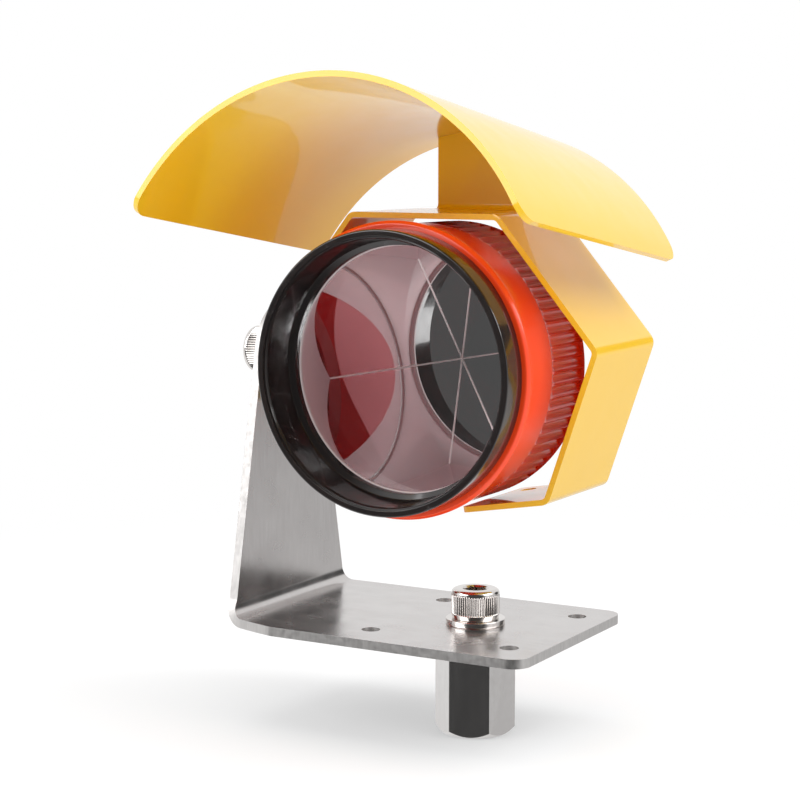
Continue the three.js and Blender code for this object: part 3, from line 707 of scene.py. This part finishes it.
def build_bracket():
    outer_x = PLATE_LOW.x
    end_x, half = PLATE_HIGH.x, PLATE_HIGH.y
    path = BendPath(
        [(end_x, PLATE_LOW.z), (outer_x, PLATE_LOW.z), (outer_x, TILT.z + ARM_TOP_RADIUS)],
        BEND_OUTER, arc_steps=10,
    )

    def along_plate(x):
        return end_x - x

    bend_start = end_x - outer_x - BEND_OUTER
    bend_end = bend_start + BEND_OUTER * math.pi / 2

    def along_arm(z):
        return bend_end + z - PLATE_LOW.z - BEND_OUTER

    def arm_half(z):
        return (ARM_TOP_RADIUS + (TILT.z - z) * math.sin(ARM_TAPER)) / math.cos(ARM_TAPER)

    tilt_s = along_arm(TILT.z)
    foot_z = PLATE_LOW.z + BEND_OUTER
    taper = math.degrees(ARM_TAPER)
    far_foot = TILT.y + arm_half(foot_z)
    near_foot = TILT.y - arm_half(foot_z)
    outline = arc((PLATE_CORNER, PLATE_CORNER - half), PLATE_CORNER, 180, 270, 12)
    outline += curve((along_plate(-45), -half), (bend_start + 1, -half + 3.2), (bend_end + 1, near_foot), 12)
    outline += arc((tilt_s, TILT.y), ARM_TOP_RADIUS, taper - 90, 90 - taper, 40)
    outline += curve((bend_end + 1, far_foot), (bend_end - 2, half), (bend_start - 2, half), 6)
    outline += arc((PLATE_CORNER, half - PLATE_CORNER), PLATE_CORNER, 90, 180, 12)
    holes = [
        circle((along_plate(sx * HOLE_PITCH / 2), sy * HOLE_PITCH / 2), SMALL_HOLE)
        for sx in (-1, 1) for sy in (-1, 1)
    ]
    holes.append(circle((along_plate(0), 0), SCREW_HOLE))
    holes.append(circle((tilt_s, TILT.y), SCREW_HOLE))

    def place(s, w, depth):
        x, z = path.place(s, depth)
        return Vector((x, w, z))

    cuts = [("s", s) for s in path.cuts]
    bracket = bent_sheet("look_l_bracket", outline, holes, cuts, place, BRACKET_SHEET, 0.22)
    hand_in(bracket, "bracket", [PLATE_STEEL, EDGE_STEEL], "l_bracket")

    arm_face = outer_x
    low, high = box_mm("pivot_washer")
    thickness = high.x - low.x
    pivot = Vector((arm_face, TILT.y, TILT.z))
    outside = Matrix.Rotation(-math.pi / 2, 4, "Y")
    piece = washer("look_pivot_washer", "X", pivot - Vector((thickness, 0, 0)), 4.2, 8.0, thickness)
    hand_in(piece, "bracket", [NICKEL], "pivot_washer")
    low, high = box_mm("pivot_spacer")
    piece = washer("look_pivot_spacer", "X", Vector((low.x, TILT.y, TILT.z)), 4.2, 8.0, high.x - low.x, 0.3)
    hand_in(piece, "bracket", [BAR_STEEL], "pivot_spacer")
    low, high = box_mm("pivot_screw")
    seat = pivot - Vector((thickness, 0, 0))
    screw = socket_screw("look_pivot_screw", high.x - seat.x, outside, seat)
    hand_in(screw, "tilt_screw", [NICKEL], "pivot_screw")


def curve(start, control, end, steps):
    """Points on a quadratic curve."""
    out = []
    for k in range(steps + 1):
        t = k / steps
        weights = ((1 - t) ** 2, 2 * t * (1 - t), t * t)
        points = (start, control, end)
        out.append(tuple(sum(w * p[i] for w, p in zip(weights, points)) for i in (0, 1)))
    return out


# ---------------------------------------------------------------- hood and strap
HOOD_PITCH = math.radians(8.7)
HOOD_HALF = 55.3
HOOD_RISE = 34.4
HOOD_LENGTH = 91.0
HOOD_CORNER = 5.0
HOOD_RADIUS = (HOOD_HALF ** 2 + HOOD_RISE ** 2) / (2 * HOOD_RISE)
HOOD_EDGE_Z = 111 + PLATE_TOP
HOOD_FRONT_Y = -66.3
HOOD_FACETS = 38  # press strokes that curve the sheet


def hood_point(angle, along, depth):
    """A point of the hood; angle is from the crown towards +X."""
    radius = HOOD_RADIUS - depth
    across = radius * math.sin(angle)
    up = HOOD_RISE - HOOD_RADIUS + radius * math.cos(angle)
    c, s = math.cos(HOOD_PITCH), math.sin(HOOD_PITCH)
    return Vector((TILT.x + across, HOOD_FRONT_Y + along * c + up * s, HOOD_EDGE_Z + up * c - along * s))


def build_hood():
    edge = math.asin(HOOD_HALF / HOOD_RADIUS)
    width = 2 * edge * HOOD_RADIUS
    r = HOOD_CORNER
    outline = arc((r, r), r, 180, 270, 10) + arc((width - r, r), r, 270, 360, 10)
    outline += arc((width - r, HOOD_LENGTH - r), r, 0, 90, 10) + arc((r, HOOD_LENGTH - r), r, 90, 180, 10)
    pitch = width / HOOD_FACETS
    soft = 0.22  # share of a facet taken by the soft crease beside it
    cuts = []
    for k in range(HOOD_FACETS):
        cuts += [("s", (k + soft) * pitch), ("s", (k + 1 - soft) * pitch)]

    def place(s, w, depth):
        """Points lie on the flat facets, so each crease is a narrow soft strip."""
        facet = min(int(s / pitch), HOOD_FACETS - 1)
        start = hood_point(facet * pitch / HOOD_RADIUS - edge, w, depth)
        end = hood_point((facet + 1) * pitch / HOOD_RADIUS - edge, w, depth)
        return start.lerp(end, s / pitch - facet)

    hood = bent_sheet("look_hood_sheet", outline, [], cuts, place, HOOD_SHEET, 0.35, 3)
    hand_in(hood, "hood", [YELLOW], "hood_sheet")


STRAP_BEND = 3.0
TAB_HALF = 14.2
TAB_NOTCH = 0.8
STRAP_CORNERS = [
    (-54.3, 56.5), (-54.3, 80), (-30.3, 110), (13.4, 110), (41.7, 76.4), (28.2, 36.7), (3.4, 32.5),
]


def hood_underside(x, y):
    """Height of the hood's inner face above a point."""
    across = x - TILT.x
    radius = HOOD_RADIUS - HOOD_SHEET
    up = HOOD_RISE - HOOD_RADIUS + math.sqrt(radius ** 2 - across ** 2)
    return HOOD_EDGE_Z + up / math.cos(HOOD_PITCH) - (y - HOOD_FRONT_Y) * math.tan(HOOD_PITCH)


def build_strap():
    corners = [(x, z + PLATE_TOP) for x, z in STRAP_CORNERS]
    path = BendPath(corners, STRAP_BEND, arc_steps=7)
    front, back = STRAP_LOW.y, STRAP_HIGH.y
    top_run = path.runs[4]
    top_s = top_run[1] + (TILT.x - corners[2][0]) - (top_run[3][0].x - corners[2][0])
    tab_low, tab_high = top_s - TAB_HALF, top_s + TAB_HALF
    bend_w = back - STRAP_BEND
    bend_length = STRAP_BEND * math.pi / 2
    top_z = corners[2][1]
    fold_z = top_z - STRAP_SHEET + STRAP_BEND

    def tab_top(s):
        x = TILT.x + s - top_s
        rise = hood_underside(x, back - STRAP_SHEET / 2) + 0.15 - fold_z
        return bend_w + bend_length + rise

    flange_r = 12.0
    end_r = 2.0
    low_s = 0.0
    outline = arc((low_s + flange_r, front + flange_r), flange_r, 180, 270, 14)
    outline += arc((path.length - end_r, front + end_r), end_r, 270, 360, 5)
    outline += arc((path.length - end_r, back - end_r), end_r, 0, 90, 5)
    outline += [(tab_high + TAB_NOTCH, back), (tab_high + TAB_NOTCH, bend_w), (tab_high, bend_w)]
    steps = 12
    outline += [(s, tab_top(s)) for s in (tab_high - 2 * TAB_HALF * k / steps for k in range(steps + 1))]
    outline += [(tab_low, bend_w), (tab_low - TAB_NOTCH, bend_w), (tab_low - TAB_NOTCH, back)]
    outline += arc((low_s + flange_r, back - flange_r), flange_r, 90, 180, 14)
    pivot_s = TILT.z - corners[0][1]
    free_run = path.runs[-1]
    holes = [circle((pivot_s, TILT.y), SCREW_HOLE)]
    hole_s = free_run[1] + (free_run[3][0] - Vector((8.5, 33.3 + PLATE_TOP))).length
    holes.append(circle((hole_s, 15.0), 2.2, 24))

    def place(s, w, depth):
        if w <= bend_w + 1e-6 or not tab_low - 0.01 <= s <= tab_high + 0.01:
            x, z = path.place(s, depth)
            return Vector((x, w, z))
        radius = STRAP_BEND - STRAP_SHEET + depth
        x = TILT.x + s - top_s
        turned = (w - bend_w) / STRAP_BEND
        if turned <= math.pi / 2:
            return Vector((x, bend_w + radius * math.sin(turned), fold_z - radius * math.cos(turned)))
        return Vector((x, bend_w + radius, fold_z + w - bend_w - bend_length))

    cuts = [("s", s) for s in path.cuts]
    cuts += [("w", bend_w + bend_length * k / 6) for k in range(7)]
    strap = bent_sheet("look_hood_strap", outline, holes, cuts, place, STRAP_SHEET, 0.3, 3)
    hand_in(strap, "hood", [YELLOW], "hood_strap")


# ---------------------------------------------------------------- canister, turned about Y
RIB_COUNT = 72
RIB_DEPTH = 1.15
RIB_START = -17.2
RIB_FULL = -14.2
RIB_END = 2.4
APERTURE = 32.0


def ribs(angle, position, radius):
    """Narrow grip ribs between wide hollows; they fade in from the smooth band."""
    if radius < 35.8 or not RIB_START < position < RIB_END:
        return 0
    fade = min((position - RIB_START) / (RIB_FULL - RIB_START), 1)
    hollow = abs(math.sin(angle * RIB_COUNT / 2)) ** 0.6
    return RIB_DEPTH * math.sin(fade * math.pi / 2) * hollow


BAND_RADIUS = 37.2


def canister_body():
    front = RING_HIGH.y - TILT.y - 5.6  # the ring's spigot ends 5.6 mm behind the canister's mouth
    profile = fillet([
        (36.1, front + 1.4), (36.1, front, 0.15), (37.6, front, 0.5), (38.3, front + 0.9, 0.5),
        (38.3, front + 1.9, 0.5), (BAND_RADIUS, front + 3.2, 0.8), (BAND_RADIUS, RIB_START),
    ], closed=False, steps=6)
    profile += [Vector((BAND_RADIUS, RIB_START + 0.4 * k)) for k in range(1, 9)]
    profile += [Vector((BAND_RADIUS, RIB_END - 0.15)), Vector((BAND_RADIUS - 0.05, RIB_END))]
    profile += [Vector((36.0, RIB_END + 0.2))]
    profile += fillet([
        (36.0, RIB_END + 0.2), (34.6, RIB_END + 0.2, 0.3), (33, 5, 1.5), (33, 11, 3), (24.2, 25, 1.0),
        (21, 25, 0.3), (21, 22), (30.6, 11, 2), (30.6, 3.2, 0.5), (33.5, 0.6, 0.5), (33.5, -25.4), (35, -26),
        (35, front + 1.4), (36.1, front + 1.4),
    ], closed=False, steps=5)[1:-1]
    body = mesh_object("look_canister_body", lathe(profile, "Y", TILT, RIB_COUNT * 10, relief=ribs), sharp=45)
    face = INSERT_LOW.x - TILT.x
    boss = fillet([(0, face), (9, face, 0.7), (9, -31, 0), (0, -31)], closed=False, steps=5)
    bore = [(0, face - 1), (5.5, face - 1), (5.5, face + 8.5), (0, face + 8.5)]
    carve(body, [lathe(boss, "X", TILT, 96, closed=False)], "UNION")
    carve(body, [
        lathe([Vector(p) for p in [(0, -20), (33.4, -20), (33.4, 0.6), (30.5, 3.2), (30.5, 9), (0, 9)]],
              "Y", TILT, RIB_COUNT * 2, closed=False),
        lathe([Vector(p) for p in bore], "X", TILT, 64, closed=False),
    ])
    for polygon_face in body.data.polygons:
        away = polygon_face.center / MM - TILT
        if math.hypot(away.x, away.z) < 33.6 and away.y < 24:
            inward = polygon_face.normal.x * away.x + polygon_face.normal.z * away.z < 0
            polygon_face.material_index = 1 if inward else 0
    return body


def front_ring():
    """Black threaded ring: a lip, a hooded inner wall and a step down to the glass."""
    front = RING_LOW.y - TILT.y
    end = RING_HIGH.y - TILT.y
    mouth = front + 8
    profile = fillet([
        (34.75, front, 0.12), (36.4, front, 0.5), (36.4, mouth, 0.15), (34.8, mouth), (34.8, end, 0.2),
        (APERTURE, end, 0.1), (APERTURE, end - 2, 0.25), (33.4, end - 3, 0.25),
        (33.95, front + 1.3, 0.4), (34.35, front + 0.55, 0.1), (34.7, front + 0.7, 0.08),
    ], steps=5)
    return mesh_object("look_front_ring", lathe(profile, "Y", TILT, 256), sharp=50)


EDGE_ANGLE = math.radians(20)  # first back edge of the glass, from +Z towards +X
EDGE_CHAMFER = 0.2


def corner_cube():
    """A cylinder of glass cut by three square-on faces, with narrow ground chamfers on their edges."""
    radius = (GLASS_HIGH.x - GLASS_LOW.x) / 2
    front, apex = GLASS_LOW.y - TILT.y, GLASS_HIGH.y - TILT.y
    profile = fillet([
        (0, front), (radius - 0.5, front), (radius, front + 0.5), (radius, apex + 1), (0, apex + 1),
    ], closed=False)
    bm = lathe(profile, "Y", TILT, 192, closed=False)
    for face in bm.faces:
        away = face.calc_center_median() / MM - TILT
        face.material_index = 1 if math.hypot(away.x, away.z) > radius - 1 and away.y > front + 0.01 else 0
    tip = (TILT + Vector((0, apex, 0))) * MM
    back = Vector((0, 1, 0))

    def slope(angle, tilt):
        """A direction leaning from the axis towards an angle measured from +Z towards +X."""
        out = Vector((math.sin(angle), 0, math.cos(angle)))
        return back * math.cos(tilt) + out * math.sin(tilt)

    face_tilt = math.atan(math.sqrt(2))
    edge_tilt = math.atan(1 / math.sqrt(2))
    third = 2 * math.pi / 3
    planes = [(tip, slope(EDGE_ANGLE + (k + 0.5) * third, face_tilt), 0) for k in range(3)]
    for k in range(3):
        normal = slope(EDGE_ANGLE + k * third, edge_tilt)
        planes.append((tip - normal * EDGE_CHAMFER * MM, normal, 2))
    for spot, normal, index in planes:
        everything = list(bm.verts) + list(bm.edges) + list(bm.faces)
        cut = bmesh.ops.bisect_plane(
            bm, geom=everything, dist=1e-7, plane_co=spot, plane_no=normal, clear_outer=True,
        )
        rim = [g for g in cut["geom_cut"] if isinstance(g, bmesh.types.BMEdge)]
        made = bmesh.ops.edgenet_fill(bm, edges=rim)
        for face in made["faces"]:
            face.material_index = index
    bmesh.ops.recalc_face_normals(bm, faces=bm.faces)
    obj = mesh_object("look_prism_glass", bm, sharp=20)
    for face in obj.data.polygons:
        face.use_smooth = face.material_index == 1
    return obj


def coil_spring(low, high, radius, wire, turns):
    """A compression spring about the optical axis with closed ends."""
    bm = bmesh.new()
    around, steps = 10, int(turns * 40)
    rings = []
    for k in range(steps + 1):
        t = k / steps
        angle = 2 * math.pi * turns * t
        ease = t * t * (3 - 2 * t)
        centre = Vector((radius * math.cos(angle), low + wire + (high - low - 2 * wire) * ease,
                         radius * math.sin(angle)))
        out = Vector((math.cos(angle), 0, math.sin(angle)))
        ring = []
        for j in range(around):
            a = 2 * math.pi * j / around
            offset = out * wire * math.cos(a) + Vector((0, wire * math.sin(a), 0))
            ring.append(bm.verts.new((TILT + centre + offset) * MM))
        rings.append(ring)
    for before, after in zip(rings, rings[1:]):
        for j in range(around):
            n = (j + 1) % around
            bm.faces.new([before[j], before[n], after[n], after[j]])
    bm.faces.new(rings[0])
    bm.faces.new(rings[-1])
    bmesh.ops.recalc_face_normals(bm, faces=bm.faces)
    return mesh_object("look_prism_spring", bm)


def rear_cap():
    """Screwed cap with a coin slot, a stepped rim and a recess for the tip of the glass."""
    face = CAP_HIGH.y - TILT.y
    low = CAP_LOW.y - TILT.y
    profile = fillet([
        (0, low + 3), (8, low + 3, 0.5), (8, low, 0.3), (20.8, low, 0.3), (20.8, face - 3),
        (24, face - 3, 0.2), (24, face, 0.8), (20.5, face, 0.3), (20.0, face - 0.5, 0.3), (0, face - 0.5),
    ], closed=False, steps=5)
    cap = mesh_object("look_rear_cap", lathe(profile, "Y", TILT, 128, closed=False))
    slot = arc((8, 0), 1.1, -90, 90, 8) + arc((-8, 0), 1.1, 90, 270, 8)
    carve(cap, [prism(slot, face - 1.4, face + 1, "Y", TILT)])
    return cap


def turned_ring(name, node, profile_of, segments=128):
    """A small turned piece about the optical axis; profile_of(low, high, outer) is its section."""
    low, high = box_mm(node)
    outer = (high.z - low.z) / 2
    profile = profile_of(low.y - TILT.y, high.y - TILT.y, outer)
    return mesh_object(name, lathe(profile, "Y", TILT, segments))


def cord(width):
    """The round section of a seal."""
    def section(low, high, outer):
        middle = (low + high) / 2
        return [Vector(p) for p in arc((outer - width, middle), width, 0, 360, 14)[:-1]]
    return section


def build_canister():
    body = "canister"
    hand_in(canister_body(), body, [RED, RED_INSIDE], "canister_body")
    hand_in(front_ring(), body, [BLACK], "front_ring")
    hand_in(corner_cube(), body, [GLASS, GROUND, CHAMFER], "prism_glass")
    seal = turned_ring("look_ring_seal", "ring_seal", cord(0.6))
    hand_in(seal, body, [NYLON], "ring_seal")
    seal = turned_ring(
        "look_glass_seal", "glass_seal",
        lambda low, high, outer: fillet([
            (APERTURE - 0.2, low, 0.25), (outer, low, 0.2), (outer, high), (APERTURE - 0.2, high, 0.25),
        ]),
        192,
    )
    hand_in(seal, body, [SILICONE], "glass_seal")
    seal = turned_ring("look_rear_seal", "rear_seal", cord(0.58))
    hand_in(seal, body, [RUBBER], "rear_seal")
    apex = GLASS_HIGH.y - TILT.y

    def cradle_section(low, high, outer):
        seat = lambda y: math.sqrt(2) * (apex - y) + 0.4
        return fillet([
            (seat(low), low, 0.1), (outer, low, 0.4), (outer, low + 3, 0.4), (outer - 3, low + 3, 0.4),
            (seat(low + 7) + 2, low + 9, 0.5), (seat(low + 7), low + 7, 0.3),
        ])

    hand_in(turned_ring("look_prism_cradle", "prism_cradle", cradle_section), body,
            [RED_INSIDE], "prism_cradle")
    low, high = box_mm("prism_spring")
    spring = coil_spring(low.y - TILT.y, high.y - TILT.y, 18.2, 0.7, 2.5)
    hand_in(spring, body, [NICKEL], "prism_spring")
    hand_in(rear_cap(), body, [NYLON], "rear_cap")
    low, high = box_mm("thread_insert")
    seat = Vector((low.x, TILT.y, TILT.z))
    insert = washer("look_thread_insert", "X", seat, 4.09, 5.5, high.x - low.x, 0.2)
    hand_in(insert, body, [BRASS], "thread_insert")
    low, high = box_mm("friction_washer")
    disc = washer("look_friction_washer", "X", Vector((low.x, TILT.y, TILT.z)), 4.2, 8.5, high.x - low.x, 0.2)
    hand_in(disc, body, [NYLON], "friction_washer")


# ---------------------------------------------------------------- stage
VIEW_AZIMUTH = math.radians(29.8)
VIEW_ELEVATION = math.radians(7.05)
VIEW_DISTANCE = 0.5403
VIEW_RISE = 0.0034
VIEW_SHIFT = -0.0007
VIEW_LENS = 93.0


def view_basis():
    a, e = VIEW_AZIMUTH, VIEW_ELEVATION
    back = Vector((math.sin(a) * math.cos(e), -math.cos(a) * math.cos(e), math.sin(e)))
    up = Vector((-math.sin(a) * math.sin(e), math.cos(a) * math.sin(e), math.cos(e)))
    right = Vector((math.cos(a), math.sin(a), 0))
    return back, up, right


def build_camera():
    low, high = CAD_BOX
    back, up, right = view_basis()
    data = bpy.data.cameras.new("camera")
    data.lens = VIEW_LENS
    data.clip_start, data.clip_end = 0.01, 50
    camera = bpy.data.objects.new("camera", data)
    bpy.context.scene.collection.objects.link(camera)
    camera.location = (low + high) / 2 + back * VIEW_DISTANCE + up * VIEW_RISE
    camera.location += right * VIEW_SHIFT
    camera.rotation_mode = "QUATERNION"
    camera.rotation_quaternion = (-back).to_track_quat("-Z", "Y")
    bpy.context.scene.camera = camera


def direction(azimuth, elevation):
    """The unit vector towards an azimuth (0 is -Y, 90 is +X) and an elevation, in degrees."""
    a, e = math.radians(azimuth), math.radians(elevation)
    return Vector((math.sin(a) * math.cos(e), -math.cos(a) * math.cos(e), math.sin(e)))


DIFFUSE_ROOM = 0.62
REFLECTED_ROOM = 0.95
REFLECTED_PATCHES = [
    # azimuth, elevation, outer and inner half-angle, brightness
    (140, -20, 60, 20, 0.68),  # grey floor behind on the right
    (12, 0, 72, 50, 0.07),  # the dark side of the room, where the camera stands
    (150, 10, 20, 11, 0.06),  # a dark stand behind on the right
    (-32, 16, 14, 6, 0.55),  # a lamp in front on the left
]


def build_world():
    """White to the camera, even to soft light, and with dark and bright sides to reflections."""
    world = bpy.data.worlds.new("studio")
    bpy.context.scene.world = world
    world.cycles.sampling_method = "NONE"
    world.use_nodes = True
    tree = world.node_tree
    tree.nodes.clear()
    toward = add_node(tree, "ShaderNodeTexCoord").outputs["Generated"]
    room = add_node(tree, "ShaderNodeValue").outputs[0]
    room.default_value = REFLECTED_ROOM
    for azimuth, elevation, outer, inner, brightness in REFLECTED_PATCHES:
        ends = {0: toward, 1: direction(azimuth, elevation)}
        facing = add_node(tree, "ShaderNodeVectorMath", ends, operation="DOT_PRODUCT")
        limits = {
            "Value": facing.outputs["Value"],
            "From Min": math.cos(math.radians(outer)),
            "From Max": math.cos(math.radians(inner)),
        }
        inside = add_node(tree, "ShaderNodeMapRange", limits, interpolation_type="SMOOTHSTEP")
        room = mixed_value(tree, inside.outputs["Result"], room, brightness)
    path = add_node(tree, "ShaderNodeLightPath")
    mirrored = add_node(
        tree, "ShaderNodeMath", {0: path.outputs["Is Glossy Ray"], 1: path.outputs["Is Transmission Ray"]},
        operation="MAXIMUM",
    )
    lit = mixed_value(tree, mirrored.outputs[0], DIFFUSE_ROOM, room)
    seen = mixed_value(tree, path.outputs["Is Camera Ray"], lit, 1.0)
    background = add_node(tree, "ShaderNodeBackground", {"Color": (1, 1, 1, 1), "Strength": seen})
    output = add_node(tree, "ShaderNodeOutputWorld")
    tree.links.new(background.outputs[0], output.inputs["Surface"])


def mixed_value(tree, factor, low, high):
    """low where the factor is 0 and high where it is 1."""
    inputs = {"Factor": factor, "A": low, "B": high}
    return add_node(tree, "ShaderNodeMix", inputs, data_type="FLOAT").outputs[0]


def soft_light(name, azimuth, elevation, distance, size, power, mirrored=True):
    """A square softbox aimed at the middle of the object; it may be left out of reflections."""
    low, high = CAD_BOX
    middle = (low + high) / 2
    back = direction(azimuth, elevation)
    data = bpy.data.lights.new(name, "AREA")
    data.size = size
    data.energy = power
    light = bpy.data.objects.new(name, data)
    bpy.context.scene.collection.objects.link(light)
    light.visible_glossy = mirrored
    light.location = middle + back * distance
    light.rotation_mode = "QUATERNION"
    light.rotation_quaternion = back.to_track_quat("Z", "Y")


FLOOR_WHITE_NEAR = 0.45  # how far the floor is already washed out under the object
FLOOR_WHITE_AT = 0.35  # metres from the object to pure white


def build_floor():
    """A pale floor under the standoff's foot that washes out to white, so that it has no horizon."""
    bm = bmesh.new()
    bmesh.ops.create_grid(bm, x_segments=8, y_segments=8, size=6)
    bmesh.ops.translate(bm, verts=bm.verts, vec=(0, 0, CAD_BOX[0].z - 0.0002))
    floor = mesh_object("floor", bm)
    look = Finish("pale_floor", (0.9, 0.9, 0.9), 0.7)
    look.tint(look.ranged(look.noise(120), 0, 0.2), (0.88, 0.88, 0.885))
    look.bump(look.noise(2), 0.02, 0.2)
    distance = look.node("ShaderNodeVectorMath", {0: look.coordinates}, operation="LENGTH")
    limits = {
        "Value": distance.outputs["Value"], "From Min": 0.05, "From Max": FLOOR_WHITE_AT,
        "To Min": FLOOR_WHITE_NEAR, "To Max": 1.0,
    }
    fade = look.node("ShaderNodeMapRange", limits, interpolation_type="SMOOTHSTEP")
    path = look.node("ShaderNodeLightPath")
    washed = look.math("MULTIPLY", fade.outputs["Result"], path.outputs["Is Camera Ray"])
    white = look.node("ShaderNodeEmission")
    mix = look.node("ShaderNodeMixShader", {0: washed, 1: look.shader.outputs[0], 2: white.outputs[0]})
    look.tree.links.new(mix.outputs[0], look.output.inputs["Surface"])
    floor.data.materials.append(look.material)
    floor.visible_glossy = False
    floor.visible_transmission = False


def build_stage():
    build_camera()
    build_world()
    build_floor()
    soft_light("key_right", 100, 42, 1.2, 0.9, 10)
    soft_light("key_left", -35, 26, 1.2, 0.9, 8)
    soft_light("top", 0, 88, 1.1, 1.0, 5, mirrored=False)
    scene = bpy.context.scene
    scene.view_settings.view_transform = "Standard"
    scene.view_settings.look = "None"
    scene.cycles.max_bounces = 24
    scene.cycles.glossy_bounces = 16
    scene.cycles.transmission_bounces = 20
    scene.cycles.transparent_max_bounces = 24
    scene.cycles.caustics_refractive = True
    scene.cycles.caustics_reflective = False


build_base()
build_bracket()
build_hood()
build_strap()
build_canister()
build_stage()
